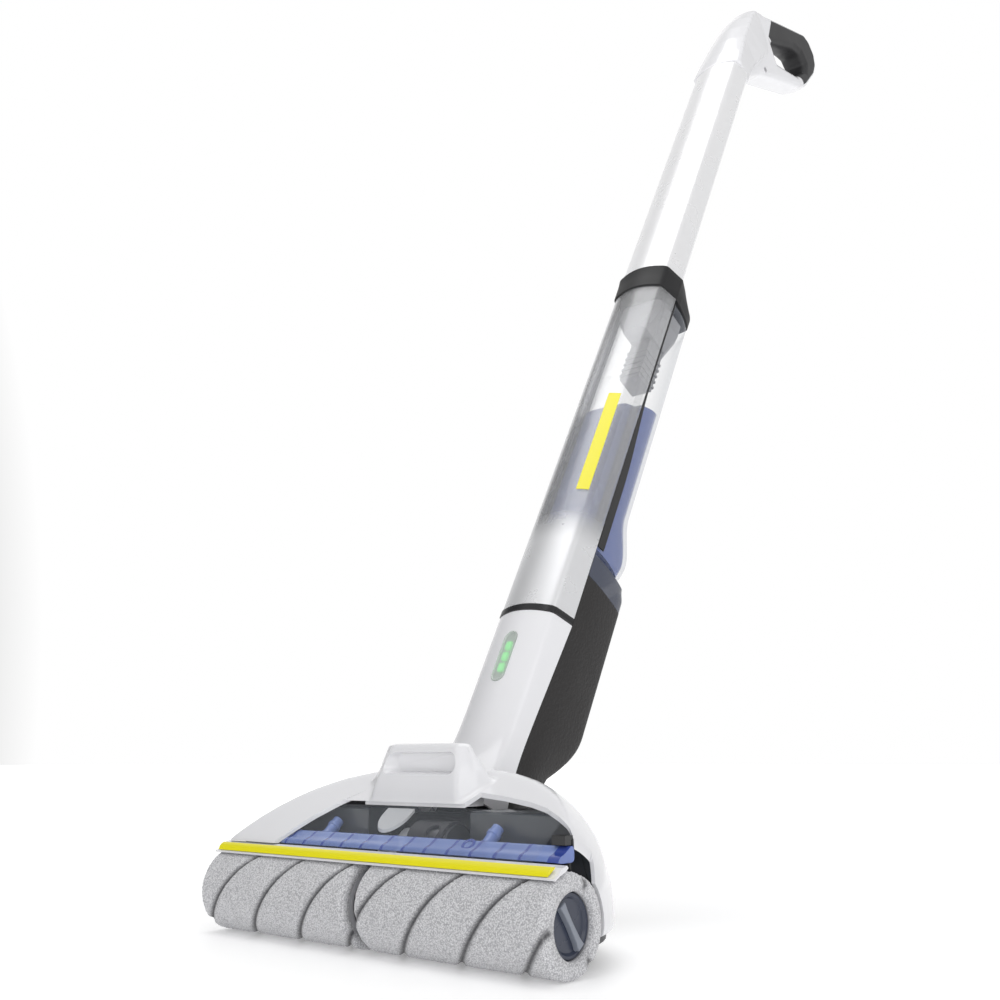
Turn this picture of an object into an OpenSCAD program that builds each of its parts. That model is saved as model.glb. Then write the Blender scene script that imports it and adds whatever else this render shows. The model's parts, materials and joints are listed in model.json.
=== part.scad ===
/* [Rollers] */
// Length over both rollers and the gap between them
roller_length = 290; // [250:1:340]
// Outer diameter of the roller cloth
roller_d = 54; // [48:1:62]
// Gap between the two rollers, where the drive arm runs
roller_gap = 9; // [8.5:0.5:12]
// Thickness of the roller cloth
cloth_t = 7; // [4:0.5:8]
// Wall of the roller tube under the cloth
core_wall = 3; // [2:0.5:4]
// Diameter of the drive shaft
shaft_d = 8; // [6:0.5:9]
// Outer diameter of the two shaft bearings
bearing_d = 16; // [13:0.5:18]
// Width of each shaft bearing
bearing_w = 5; // [4:0.5:7]

/* [Drive] */
// Diameter of the drive motor's can
motor_d = 24.4; // [20:0.1:26]
// Length of the drive motor's can
motor_length = 32; // [26:1:40]
// Pitch radius of the pulley on the drive shaft
drive_pulley_r = 9.5; // [8:0.1:10]
// Pitch radius of the pulley on the motor
motor_pulley_r = 5; // [4:0.1:6]
// Thickness of the drive belt
belt_t = 1.2; // [0.8:0.1:1.4]
// Width of the drive belt
belt_w = 3.6; // [3:0.1:4]

/* [Floor head] */
// Distance from the back of the rollers to the tilt axis
reach_gap = 38; // [36:1:50]
// Height of the tilt axis above the floor
tilt_h = 55; // [48:1:70]
// Height of the cover above the floor
cover_h = 112; // [100:1:135]
// Depth of the cover behind its front strip
cover_depth = 128; // [115:1:150]
// Wall of the cover
cover_wall = 2.4; // [1.6:0.2:3]
// How far the cover stands out past each roller end
cover_side = 4.5; // [4:0.5:8]
// Angle of the sloping front of the cover
front_slope = 37.6; // [32:0.5:42]
// Wall of the dirty water tanks
tank_wall = 1.8; // [1.2:0.1:2.6]
// Radius of the swivel hub at the foot of the neck
hub_r = 22; // [19:0.5:23]
// Diameter of the tilt pin
pin_d = 12; // [9:0.5:14]

/* [Stick] */
// Lean of the stick from upright in the stored position
lean = 28; // [0:1:60]
// Width of the stick
body_w = 61; // [54:1:70]
// Width of the flat front between its two creases
front_w = 51; // [44:1:56]
// Bow of the front face
front_bow = 7; // [3:0.5:9]
// Depth of the front shell
shell_depth = 18; // [15:0.5:22]
// Wall of the shells
wall = 2.2; // [1.6:0.1:3]
// Height of the neck ring above the tilt axis
ring_s = 179; // [170:1:200]
// Length of the body between the neck ring and the collar
body_length = 350; // [300:1:420]
// Length of the upper tube above the collar
tube_length = 347; // [250:1:420]
// Depth of the fresh water tank behind the front face
tank_depth = 61; // [52:1:70]
// Depth of the neck from front to back
neck_back = 82; // [70:1:94]

/* [Handle] */
// Width of the handle loop
handle_w = 30; // [26:1:36]

/* [Hidden] */
$fn = 64;
eps = 0.01;
run_fit = 0.05;            // radial clearance of a shaft in its bearing
gap = 0.3;                 // clearance between covers that move apart
roller_r = roller_d / 2;
core_r = roller_r - cloth_t;
core_in = core_r - core_wall;
reach = roller_r + reach_gap;
half_length = roller_length / 2;
cover_w = roller_length + 2 * cover_side;
cover_base = 15;
cover_foot = 18;
strip_y = -9.5;            // front edge of the cover, measured from the roller axis
strip_z = roller_d + 3;    // height of that edge
motor_r = motor_d / 2;
motor_swing = roller_r + motor_r + 3.4;
motor_y = reach - hub_r - motor_r - 3.8;
motor_z = roller_r + sqrt(motor_swing * motor_swing - motor_y * motor_y);
motor_x0 = 7;
post_y = max(motor_y, roller_r - 1) + 5;      // post that carries the motor and the drive arm
post_t = 7;
post_z = motor_z - motor_r - 2.5;
arm_t = roller_gap - 0.8;
arm_skin = 1.3;
arm_r = drive_pulley_r + 3.2;
arm_r2 = motor_pulley_r + 4.2;
boss_r = bearing_d / 2 + 2.5;
boss_x = arm_t / 2 + bearing_w + 1;
hex_x0 = boss_x + 2;
hex_x1 = 60;
plate_z = 14;
plate_t = 3;
pad_y = cover_depth - 98;
ear_x0 = body_w / 2 + 1.5;
ear_t = 6;
ear_x1 = ear_x0 + ear_t;
bush_r = pin_d / 2 + 2.5;
notch_x = ear_x1 + 3;
axis_n = 8;                // depth of the tilt axis behind the front creases
body_s0 = ring_s + 3;
body_s1 = body_s0 + body_length;
collar_s1 = body_s1 + 26;
tube_s1 = collar_s1 + tube_length;
top_s = tube_s1 - 904;     // shift of the handle when the stick's length changes
tank_s0 = body_s0 + 64;
tank_s1 = body_s1 - 4;
neck_s1 = tank_s0 - 4;
tank_x = min(body_w / 2 - wall - 4.3, front_w / 2 - 1.5);
cap_n = tank_depth - 21;
cap_r = 14;
hood_x = 43;
hood_y1 = reach - axis_n - front_bow - 8;
hood_y0 = hood_y1 - 16;
hood_z = cover_h + 9;
latch_x = half_length - 18;
latch_press = 3;
rib_step = 18;
fairing_w = 24;
socket_s = neck_s1 - 37;
socket_r = 2.75;
socket_n = neck_back - 1.5;
socket_depth = 9;
lamp_s = ring_s - 42;
hose_x = min(front_w / 2, body_w / 2 - 5) - 4.5;
cell_r = 9.2;
cell_length = 65;
cell_s = 122;
lamp_length = 42;
lamp_w = 12;
stripe_length = 105;
spout_r = shell_depth / 2 - 1;
switch_n = 28;
switch_s = 1063.5 + top_s;

// ---- outlines -------------------------------------------------------------
function bow(x, y, b, n = 10) = [for (i = [0:n]) let (u = 2 * i / n - 1) [x * u, y + b * (1 - u * u)]];
function rev(v) = [for (i = [len(v) - 1:-1:0]) v[i]];
function side_x(n) = front_w / 2 + (body_w - front_w) / 2 * min(1, n / shell_depth);

function inner_x(n) = front_w / 2 - wall + (body_w - front_w) / 2 * (n - wall) / (shell_depth - wall);

// front of the stick: creases at depth n0, sides ending at depth n1
function front_line(n0, n1, inset) = concat(
    [[-(side_x(n1) - inset), n1]],
    bow(front_w / 2 - inset, n0 + inset, -front_bow),
    [[side_x(n1) - inset, n1]]);

// back of the stick: rounded, from depth n1 to depth n2
function rear_line(n1, n2, inset) = let (r = min(12, (n2 - n1) / 2)) concat(
    [[side_x(n1) - inset, n1], [body_w / 2 - inset, n1 + (n2 - n1) * 0.35]],
    rev(bow(body_w / 2 - 4 - inset, n2 - r - inset, r)),
    [[-(body_w / 2 - inset), n1 + (n2 - n1) * 0.35], [-(side_x(n1) - inset), n1]]);

function neck_split(s) = shell_depth + 0.2 - 0.068 * max(0, ring_s - 4 - s);

module at_stick() translate([0, 0, tilt_h]) rotate([-lean, 0, 0]) translate([0, -axis_n, 0]) children();
module at_roller() translate([0, -reach, 0]) children();
module slice(s) translate([0, 0, s]) linear_extrude(eps) children();
module across(x0, x1) translate([x0, 0, 0]) rotate([90, 0, 90]) linear_extrude(x1 - x0) children();
module rod_x(x0, x1, r, y, z) translate([x0, y, z]) rotate([0, 90, 0]) cylinder(r = r, h = x1 - x0);
module both() { children(); mirror([1, 0, 0]) children(); }

// ---- dome of the floor head, measured from the roller axis ----------------
dome_top = cover_h - 6;
dome_levels = concat([cover_foot, 32, 46],
    [for (k = [0, 0.2, 0.4, 0.58, 0.73, 0.85, 0.94, 1]) strip_z + k * (dome_top - strip_z)]);
function slope_y(z) = strip_y + max(0, z - strip_z) / tan(front_slope);
function slope_z(y) = strip_z + (y - strip_y) * tan(front_slope);
function ring_point(r, a) = [-r * sin(a), roller_r + r * cos(a)];
function dome_k(z, top) = pow(1 - pow(min(1, max(0, (z - cover_base) / (top - cover_base))), 2.65), 1 / 3.2);
function dome_rim(z, inset, front_min = -100) =
    let (k = dome_k(z, cover_h - inset), w = (cover_w / 2 - inset) * k, d = (cover_depth - inset) * k,
         front = max(front_min, slope_y(z) + inset * 1.25), y0 = strip_y - 2,
         t0 = asin(pow(min(0.98, max(0, (front - y0) / d)), 1 / 0.91)))
    [for (i = [0:28]) let (t = t0 + (180 - 2 * t0) * i / 28, c = cos(t))
        [w * sign(c) * pow(abs(c), 0.91), y0 + d * pow(sin(t), 0.91)]];
module dome(inset)
    for (i = [0:len(dome_levels) - 2])
        hull() {
            slice(dome_levels[i]) polygon(dome_rim(dome_levels[i], inset));
            slice(dome_levels[i + 1]) polygon(dome_rim(dome_levels[i + 1], inset));
        }
window_outline = [[-half_length + 51, strip_y + 1.5], [-half_length + 67, 16], [-half_length + 79, 27],
    [-hood_x - 6, hood_y1 - 5], [-hood_x - 1, hood_y0 + 1], [hood_x + 1, hood_y0 + 1], [hood_x + 7, hood_y1 - 7],
    [half_length - 51, hood_y1 - 13], [half_length - 26, 23], [half_length - 4, 13], [half_length - 4, strip_y + 1.5]];

// ---- floor head: fixed pieces ---------------------------------------------
module chassis() {
    color("dimgray") {
        at_roller() difference() {
            translate([0, 0, plate_z]) linear_extrude(plate_t)
                polygon(dome_rim(32, cover_wall + 2, roller_r + 4));
            for (x = [-100, 100]) translate([x, roller_r + 14, 0]) cylinder(r = 2.1, h = 40);
        }
        difference() {
            union() {
                both() translate([ear_x0, -13, plate_z]) cube([ear_t, 26, tilt_h - plate_z]);
                both() rod_x(ear_x0, ear_x1, 13, 0, tilt_h);
            }
            rod_x(-ear_x1 - 1, ear_x1 + 1, bush_r, 0, tilt_h);
        }
        translate([-28, -8, 4]) cube([56, 16, plate_z - 4]);
        both() translate([75, pad_y, 3]) cylinder(r = 7, h = plate_z - 3);
        at_roller() translate([-14, post_y, plate_z]) cube([motor_x0 + motor_length + 15, post_t, post_z - plate_z]);
    }
}

module glide_pads() {
    color("gray") {
        translate([-26, -7, 0]) cube([52, 14, 4]);
        both() translate([75, pad_y, 0]) cylinder(r = 8, h = 3);
    }
}

module tilt_bushes()
    color("silver") both() difference() {
        rod_x(ear_x0, ear_x1, bush_r, 0, tilt_h);
        rod_x(ear_x0 - 1, ear_x1 + 1, pin_d / 2 + run_fit, 0, tilt_h);
    }

module arm_outline(r1, r2)
    hull() {
        translate([0, roller_r]) circle(r1);
        translate([motor_y, motor_z]) circle(r2);
    }

module arm_half(motor_side) {
    difference() {
        union() {
            across(0, arm_t / 2) arm_outline(arm_r, arm_r2);
            across(0, arm_t / 2) translate([motor_y + 2, post_z]) square([post_t + 3, motor_r + 2.5]);
            rod_x(arm_t / 2 - eps, boss_x, boss_r, 0, roller_r);
        }
        across(-1, arm_t / 2 - arm_skin) arm_outline(arm_r - 1.5, arm_r2 - 1.5);
        rod_x(0, boss_x + 1, shaft_d / 2 + 1, 0, roller_r);
        rod_x(boss_x - bearing_w, boss_x + 1, bearing_d / 2, 0, roller_r);
        if (motor_side) rod_x(0, arm_t, 3.2, motor_y, motor_z);
    }
}
module drive_arm_right() color("gray") at_roller() arm_half(true);
module drive_arm_left() color("gray") at_roller() mirror([1, 0, 0]) arm_half(false);

module shaft_bearings()
    color("silver") at_roller() both() difference() {
        rod_x(boss_x - bearing_w, boss_x, bearing_d / 2, 0, roller_r);
        rod_x(0, boss_x + 1, shaft_d / 2 + run_fit, 0, roller_r);
    }

module drive_belt()
    color([0.1, 0.1, 0.1]) at_roller() difference() {
        across(-belt_w / 2, belt_w / 2) arm_outline(drive_pulley_r + 0.1 + belt_t, motor_pulley_r + 0.1 + belt_t);
        across(-belt_w, belt_w) arm_outline(drive_pulley_r + 0.1, motor_pulley_r + 0.1);
    }

module drive_motor()
    color("slategray") at_roller() difference() {
        union() {
            rod_x(motor_x0, motor_x0 + motor_length, motor_r, motor_y, motor_z);
            rod_x(arm_t / 2 + 0.2, motor_x0 + eps, 3, motor_y, motor_z);
            rod_x(motor_x0 + motor_length - eps, motor_x0 + motor_length + 2.5, 4, motor_y, motor_z);
        }
        rod_x(0, motor_x0 + 8, 1 + run_fit, motor_y, motor_z);
    }

module motor_cover()
    color("lightgray") at_roller() difference() {
        union() {
            rod_x(motor_x0 + 1, motor_x0 + motor_length - 2, motor_r + 2, motor_y, motor_z);
            translate([motor_x0 + 1, post_y, post_z]) cube([motor_length - 3, post_t, motor_r]);
        }
        rod_x(motor_x0, motor_x0 + motor_length, motor_r, motor_y, motor_z);
        translate([motor_x0 + 21, motor_y, motor_z]) rotate([52, 0, 0]) cylinder(r = 5, h = motor_d);
    }

module head_hose()
    color([0.75, 0.8, 0.9]) at_roller() difference() {
        translate([-18, motor_y - 4, motor_z + 1]) rotate([-90, 0, 0]) cylinder(r = 3, h = 16);
        translate([-18, motor_y - 5, motor_z + 1]) rotate([-90, 0, 0]) cylinder(r = 2, h = 18);
    }

module water_nozzle()
    color("gray") at_roller() union() {
        translate([-18, motor_y - 8, motor_z - 10]) cylinder(r = 3.5, h = 14.5);
        translate([-18, motor_y - 8, motor_z + 1]) rotate([-90, 0, 0]) cylinder(r = 3.5, h = 4);
        translate([-18, motor_y - 8, motor_z - 6]) rotate([0, 90, 0]) cylinder(r = 2, h = 18 - arm_t / 2);
    }

module chassis_screws() {
    color("silver") {
        at_roller() for (x = [-100, 100]) translate([x, roller_r + 14, plate_z - 1.6]) screw(2.1, 4.4);
    }
}
module screw(r, h) {
    cylinder(r = r, h = h);
    cylinder(r = r * 1.9, h = 1.6);
}

// ---- drive line and rollers -----------------------------------------------
module drive_shaft()
    color("silver") at_roller() union() {
        rod_x(-hex_x0, hex_x0, shaft_d / 2, 0, roller_r);
        both() translate([hex_x0 - eps, 0, roller_r]) rotate([0, 90, 0])
            cylinder(r = shaft_d / 2, h = hex_x1 - hex_x0, $fn = 6);
    }

module pulley(r, half_w, bore_r) {
    difference() {
        union() {
            rod_x(-half_w, half_w, r, 0, 0);
            both() rod_x(belt_w / 2 + 0.2, half_w, r + 1.4, 0, 0);
        }
        rod_x(-half_w - 1, half_w + 1, bore_r, 0, 0);
    }
}
module drive_pulley()
    color("dimgray") at_roller() translate([0, 0, roller_r]) pulley(drive_pulley_r, arm_t / 2 - arm_skin - 0.2, shaft_d / 2);

module motor_pulley()
    color("dimgray") at_roller() translate([0, motor_y, motor_z]) union() {
        pulley(motor_pulley_r, arm_t / 2 - arm_skin - 0.2, 0.5);
        rod_x(-2, motor_x0 + 7, 1, 0, 0);
    }

module roller_core()
    difference() {
        rod_x(roller_gap / 2, half_length - 3, core_r, 0, roller_r);
        rod_x(roller_gap / 2 - 1, hex_x0 + 4, core_in, 0, roller_r);
        rod_x(hex_x0 + 16, half_length, core_in, 0, roller_r);
        translate([hex_x0, 0, roller_r]) rotate([0, 90, 0]) cylinder(r = shaft_d / 2 + 0.3, h = 30, $fn = 6);
    }
module roller_cloth()
    difference() {
        rod_x(roller_gap / 2, half_length, roller_r, 0, roller_r);
        rod_x(roller_gap / 2 - 1, half_length - 3, core_r, 0, roller_r);
        rod_x(half_length - 4, half_length + 1, core_in, 0, roller_r);
    }
module roller_cap() {
    rod_x(half_length - 12, half_length - 3, core_in - 0.1, 0, roller_r);
    translate([half_length - 3 - eps, 0, roller_r]) rotate([-55, 0, 0])
        translate([0, -core_in + 3, -2.5]) cube([2.6, 2 * core_in - 6, 5]);
}
module roller_core_left() color("lightgray") at_roller() mirror([1, 0, 0]) roller_core();
module roller_core_right() color("lightgray") at_roller() roller_core();
module roller_cloth_left() color([0.9, 0.9, 0.9]) at_roller() mirror([1, 0, 0]) roller_cloth();
module roller_cloth_right() color([0.9, 0.9, 0.9]) at_roller() roller_cloth();
module roller_cap_left() color([0.16, 0.18, 0.24]) at_roller() mirror([1, 0, 0]) roller_cap();
module roller_cap_right() color([0.16, 0.18, 0.24]) at_roller() roller_cap();

// ---- lift-off cover with the dirty water tanks ----------------------------
module end_cut() polygon([[-20, 0], [12, 0], [13, 22], [19, 41], [27, strip_z + 3], [26, strip_z + 11],
    [14, strip_z + 15], [-20, strip_z - 7]]);
module roller_room() {
    rod_x(-cover_w, cover_w, roller_r + 1.5, 0, roller_r);
    rod_x(-half_length - 1.5, half_length + 1.5, roller_r + 3, 0, roller_r);
    translate([-cover_w, -40, 0]) cube([2 * cover_w, 48, strip_z + 0.6]);
}
module neck_notch()
    translate([-notch_x, reach - 24, 0]) cube([2 * notch_x, cover_depth, 200]);
module slope_slab(lift, t)
    translate([-cover_w, strip_y, strip_z + lift]) rotate([front_slope, 0, 0]) translate([0, -20, 0])
        cube([2 * cover_w, 130, t]);

module cover_shell()
    color("white") at_roller() difference() {
        dome(0);
        translate([0, 0, -eps]) dome(cover_wall);
        roller_room();
        neck_notch();
        across(half_length - 8, cover_w) end_cut();
        translate([0, 0, strip_z - 12]) linear_extrude(80) polygon(window_outline);
    }

module hood_profile() polygon([[hood_y0, slope_z(hood_y0) + 0.1], [hood_y0 + 1, slope_z(hood_y0) + 8],
    [hood_y0 + 6, hood_z - 9], [hood_y0 + 9, hood_z - 3], [hood_y1 - 3, hood_z], [hood_y1 - 0.5, hood_z - 1],
    [hood_y1 - 0.5, slope_z(hood_y1) + 0.1]]);

module lift_hood()
    color("white") at_roller() difference() {
        intersection() {
            across(-hood_x, hood_x) hood_profile();
            translate([0, 0, strip_z + 20]) linear_extrude(60)
                polygon([[-hood_x, hood_y1 + 9], [-hood_x, hood_y0 + 6], [-hood_x + 8, hood_y0], [hood_x - 8, hood_y0],
                    [hood_x, hood_y0 + 6], [hood_x, hood_y1 + 9]]);
        }
        translate([-32, hood_y0 - 1, hood_z - 20]) cube([64, 12, 15]);
    }

module accent_strip()
    color("yellow") at_roller() across(-half_length, half_length)
        polygon([ring_point(roller_r + 2, 32), ring_point(roller_r + 4.8, 18.3), ring_point(roller_r + 3.5, 17),
            ring_point(roller_r + 1.4, 30.8)]);

module strip_carrier()
    color("white") at_roller() across(-half_length, half_length)
        polygon([ring_point(roller_r + 0.8, 33.6), ring_point(roller_r + 2.1, 33.6), ring_point(roller_r + 2, 32),
            ring_point(roller_r + 1.4, 30.8), ring_point(roller_r + 3.5, 17), ring_point(roller_r + 3.6, 10),
            ring_point(roller_r + 2.2, 8), ring_point(roller_r + 0.8, 14), ring_point(roller_r + 0.8, 24)]);

module cover_window()
    color([0.85, 0.9, 1, 0.3]) at_roller() intersection() {
        slope_slab(-2.4, 1.6);
        translate([0, 0, strip_z - 12]) linear_extrude(80) offset(delta = -gap) polygon(window_outline);
        translate([-cover_w, strip_y, strip_z + 0.7])
            cube([cover_w + latch_x - latch_press - 1, hood_y0 - 2.3 - strip_y, 200]);
    }

module dirty_tank() {
    difference() {
        intersection() {
            dome(cover_wall + 0.8);
            translate([notch_x + 4, roller_r + 4, plate_z + plate_t + 2]) cube([cover_w, cover_depth, 62]);
        }
        intersection() {
            translate([0, 0, -eps]) dome(cover_wall + 0.8 + tank_wall);
            translate([notch_x + 4 + tank_wall, roller_r + 4 + tank_wall, plate_z + plate_t + 2 + tank_wall])
                cube([cover_w, cover_depth, 80]);
        }
        slope_slab(-4.5, 40);
    }
}
module dirty_tank_left() color([0.25, 0.26, 0.28]) at_roller() mirror([1, 0, 0]) dirty_tank();
module dirty_tank_right() color([0.25, 0.26, 0.28]) at_roller() dirty_tank();

bar_y = min(10.6, motor_y - motor_r - 4.2);
bar_x = (cover_w / 2 - cover_wall) * dome_k(strip_z + 9, cover_h - cover_wall) * 0.95;
function bar_z(back) = slope_z(bar_y + back) - 4.6;
module scraper_bar()
    color([0.4, 0.45, 0.85]) at_roller() union() {
        across(-bar_x, half_length - 6)
            polygon([[-3.6, strip_z + 0.7], [bar_y - 7.6, bar_z(-7.6)], [bar_y - 3, bar_z(-3)], [bar_y - 0.6, bar_z(-3) + 0.2],
                [bar_y, bar_z(-3) - 2.6], [bar_y, strip_z + 1.5], [bar_y - 1.5, strip_z + 0.2], [-1, strip_z + 0.2]]);
        for (x = [6 - bar_x:rib_step:half_length - 20])
            across(x, x + 1.6) polygon([[-3.6, strip_z + 0.7], [bar_y - 7.6, bar_z(-7.6) + 0.7], [bar_y - 3, bar_z(-3) + 0.7],
                [bar_y - 0.3, bar_z(-3) + 0.8], [bar_y + 0.3, bar_z(-3) - 2.6], [bar_y + 0.3, strip_z + 1.5]]);
        translate([half_length - 78, bar_y - 5.6, bar_z(-5.6)]) rotate([front_slope, 0, 0]) translate([0, 0, -3.2])
            cylinder(r = 4.6, h = 3.6);
    }

module scraper_blade()
    color([0.1, 0.1, 0.1]) at_roller() both() across(roller_gap, half_length - 6)
        polygon([[4, strip_z + 0.2], [6, strip_z + 0.2], [6.2, strip_z - 3.2], [5.2, strip_z - 3.2]]);

module centre_fairing()
    color("lightgray") at_roller() intersection() {
        slope_slab(-5.4, 1.6);
        translate([0, 0, strip_z]) linear_extrude(80) hull() {
            translate([-9, 22]) circle(fairing_w / 2);
            translate([-9 - fairing_w / 2, hood_y0 - 1.4]) square([fairing_w, 1]);
        }
        translate([-cover_w, strip_y, 0]) cube([2 * cover_w, hood_y0 - 0.3 - strip_y, 200]);
    }

module duct_posts()
    color([0.4, 0.45, 0.85]) at_roller() both()
        translate([70, roller_r - 11, strip_z + 4]) rotate([-48, 0, 0]) difference() {
            cylinder(r = 4.5, h = 16);
            translate([0, 0, -1]) cylinder(r = 3, h = 26);
        }

module cover_latch()
    color([0.1, 0.1, 0.1]) at_roller() translate([latch_x, 5, bar_z(-3) + 0.5]) cube([9, 7, 5]);

// ---- neck -------------------------------------------------------------------
module neck_hub()
    color([0.12, 0.12, 0.12]) at_stick() difference() {
        union() {
            rod_x(-body_w / 2 + 1.5, body_w / 2 - 1.5, hub_r, axis_n, 0);
            translate([-17, axis_n - 9, 0]) cube([34, 18, 72]);
        }
        rod_x(-body_w, body_w, pin_d / 2, axis_n, 0);
    }

module tilt_pin()
    color("silver") translate([0, 0, tilt_h]) rod_x(-ear_x1 - 1, ear_x1 + 1, pin_d / 2, 0, 0);

neck_levels = [hub_r, 40, 56, 70, 92, 115, ring_s - 3];
function neck_front_n(s) = s > 115 ? 0 : -8 * pow((115 - s) / 93, 1.6);
function neck_rear_n(s) = s > 115 ? neck_back : s > 70 ? 58 + (neck_back - 58) * sin(90 * (s - 70) / 45) : 46 + 12 * (s - 22) / 48;
module neck_front_solid(inset, back)
    for (i = [0:len(neck_levels) - 2])
        hull() {
            neck_front_slice(neck_levels[i], inset, back);
            neck_front_slice(neck_levels[i + 1], inset, back);
        }
module neck_front_slice(s, inset, back)
    slice(s) polygon(concat(front_line(neck_front_n(s), neck_split(s), inset),
        [[side_x(neck_split(s)) - inset, neck_split(s) + back], [-side_x(neck_split(s)) + inset, neck_split(s) + back]]));

module stadium(w, l) hull() {
    translate([0, l / 2 - w / 2]) circle(w / 2);
    translate([0, -l / 2 + w / 2]) circle(w / 2);
}
module lamp_prism(inset, n0, n1)
    translate([0, n1, lamp_s]) rotate([90, 0, 0]) linear_extrude(n1 - n0) stadium(lamp_w - 2 * inset, lamp_length - 2 * inset);

module neck_front()
    color("white") at_stick() difference() {
        neck_front_solid(0, 0);
        translate([0, 0, -2 * eps]) neck_front_solid(wall, 2);
        translate([0, 0, 2 * eps]) neck_front_solid(wall, 2);
        lamp_prism(0, -20, 8);
    }

rear_levels = [hub_r, 40, 56, 70, 80, 92, 115, ring_s - 3, neck_s1 - 26, neck_s1];
module neck_rear_slice(s, inset, front)
    slice(s) polygon(concat(rear_line(neck_split(s) + 0.2, neck_rear_n(s) - (s > neck_s1 - 1 ? 5 : 0), inset),
        [[-(side_x(neck_split(s)) - inset), neck_split(s) + 0.2 - front], [side_x(neck_split(s)) - inset, neck_split(s) + 0.2 - front]]));
module neck_rear_solid(inset, front)
    for (i = [0:len(rear_levels) - 2])
        hull() {
            neck_rear_slice(rear_levels[i], inset, front);
            neck_rear_slice(rear_levels[i + 1], inset, front);
        }
module neck_rear()
    color([0.12, 0.12, 0.12]) at_stick() difference() {
        neck_rear_solid(0, 0);
        translate([0, 0, -eps]) neck_rear_solid(wall, 2);
        translate([0, neck_back + 4, socket_s]) rotate([90, 0, 0]) cylinder(r = 8, h = 40);
    }

module neck_ring()
    color([0.08, 0.08, 0.08]) at_stick() difference() {
        translate([0, 0, ring_s - 3 + eps]) linear_extrude(6 - eps) polygon(front_line(-0.3, shell_depth - 0.2, -0.3));
        translate([0, 0, ring_s - 4]) linear_extrude(8) polygon(concat(front_line(0, shell_depth - 0.2, wall + 1),
            [[body_w / 2 - wall - 1, shell_depth + 1], [-body_w / 2 + wall + 1, shell_depth + 1]]));
    }

module charge_window()
    color([0.9, 0.95, 0.9]) at_stick() difference() {
        intersection() {
            lamp_prism(0.15, -20, 20);
            translate([0, 0, lamp_s - 40]) linear_extrude(80) polygon(front_line(0, shell_depth, 0.2));
        }
        translate([-20, -2.6, lamp_s - 40]) cube([40, 40, 80]);
    }

module charge_lamps()
    color("limegreen") at_stick() for (k = [-1:1])
        translate([-3, -2.4, lamp_s + k * 9 - 3]) cube([6, 2.6, 6]);

module circuit_board()
    color("darkgreen") at_stick() translate([-15, 0.4, ring_s - 79]) cube([30, 1.6, 70]);

module battery_cells()
    color("steelblue") at_stick() both() translate([9.7, 38, cell_s]) cylinder(r = cell_r, h = cell_length);

module battery_holder()
    color([0.2, 0.2, 0.2]) at_stick() difference() {
        translate([-20.5, 34, cell_s - 3]) cube([41, 14, cell_length + 6]);
        both() translate([9.7, 38, cell_s]) cylinder(r = cell_r + run_fit, h = cell_length);
    }

module charging_socket()
    color([0.15, 0.15, 0.15]) at_stick() difference() {
        translate([0, socket_n, socket_s]) rotate([90, 0, 0]) cylinder(r = 7.8, h = 14);
        translate([0, socket_n + 1, socket_s]) rotate([90, 0, 0]) cylinder(r = socket_r, h = socket_depth + 1);
    }

module water_hose()
    color([0.75, 0.8, 0.9]) at_stick() difference() {
        translate([-hose_x, 10, 76]) cylinder(r = 3, h = body_s0 - 76);
        translate([-hose_x, 10, 75]) cylinder(r = 2, h = body_s0);
    }

// ---- body and fresh water tank ----------------------------------------------
module body_front()
    color([0.8, 0.82, 0.84, 0.5]) at_stick() translate([0, 0, body_s0]) linear_extrude(body_length)
        polygon(concat(front_line(0, shell_depth, 0), rev(front_line(0, shell_depth, wall))));

module body_stripe()
    color("yellow") at_stick() translate([0, 0, body_s0 + 109]) linear_extrude(stripe_length)
        polygon([for (p = concat([for (i = [0:4]) stripe_point(i, 0.02)], [for (i = [4:-1:0]) stripe_point(i, 0.35)])) p]);
function stripe_point(i, out) = let (x = 12 + 2.5 * i, u = x / (front_w / 2)) [x, -front_bow * (1 - u * u) - out];

module body_carrier()
    color([0.06, 0.06, 0.06]) at_stick() union() {
        both() translate([0, 0, body_s0]) linear_extrude(body_length)
            polygon([[tank_x + 0.4, shell_depth - 5.2], [inner_x(shell_depth - 5.2) - 0.1, shell_depth - 5.2],
                [inner_x(shell_depth - 0.2) - 0.1, shell_depth - 0.2], [tank_x + 0.4, shell_depth - 0.2]]);
        translate([0, 0, body_s0]) linear_extrude(4)
            polygon(front_line(0, shell_depth - 0.5, wall + 0.2));
    }

module tank_receiver()
    color([0.4, 0.45, 0.6]) at_stick() difference() {
        union() {
            translate([0, spout_r + 1.5, body_s0 + 4]) cylinder(r = spout_r - 2, h = 16);
            translate([0, spout_r + 1.5, body_s0 + 20 - eps]) cylinder(r1 = spout_r - 2, r2 = spout_r, h = tank_s0 - body_s0 - 23);
        }
        translate([0, spout_r + 1.5, body_s0 + 3]) cylinder(r = 3.5, h = 18);
        translate([0, spout_r + 1.5, body_s0 + 20]) cylinder(r1 = 3.5, r2 = spout_r - 2, h = tank_s0 - body_s0 - 22);
    }

tank_levels = [tank_s0, tank_s0 + 16, tank_s0 + 54, tank_s1];
tank_extra = [6, 9, 0, 0];
module tank_rear(inset)
    for (i = [0:2])
        hull() {
            tank_slice(i, inset);
            tank_slice(i + 1, inset);
        }
module tank_slice(i, inset)
    slice(tank_levels[i] + (i == 0 ? inset : i == 3 ? -inset - eps : 0))
        polygon(rear_line(shell_depth + 0.6 - (inset > 0 ? 6 : 0), tank_depth + tank_extra[i], inset));

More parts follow.
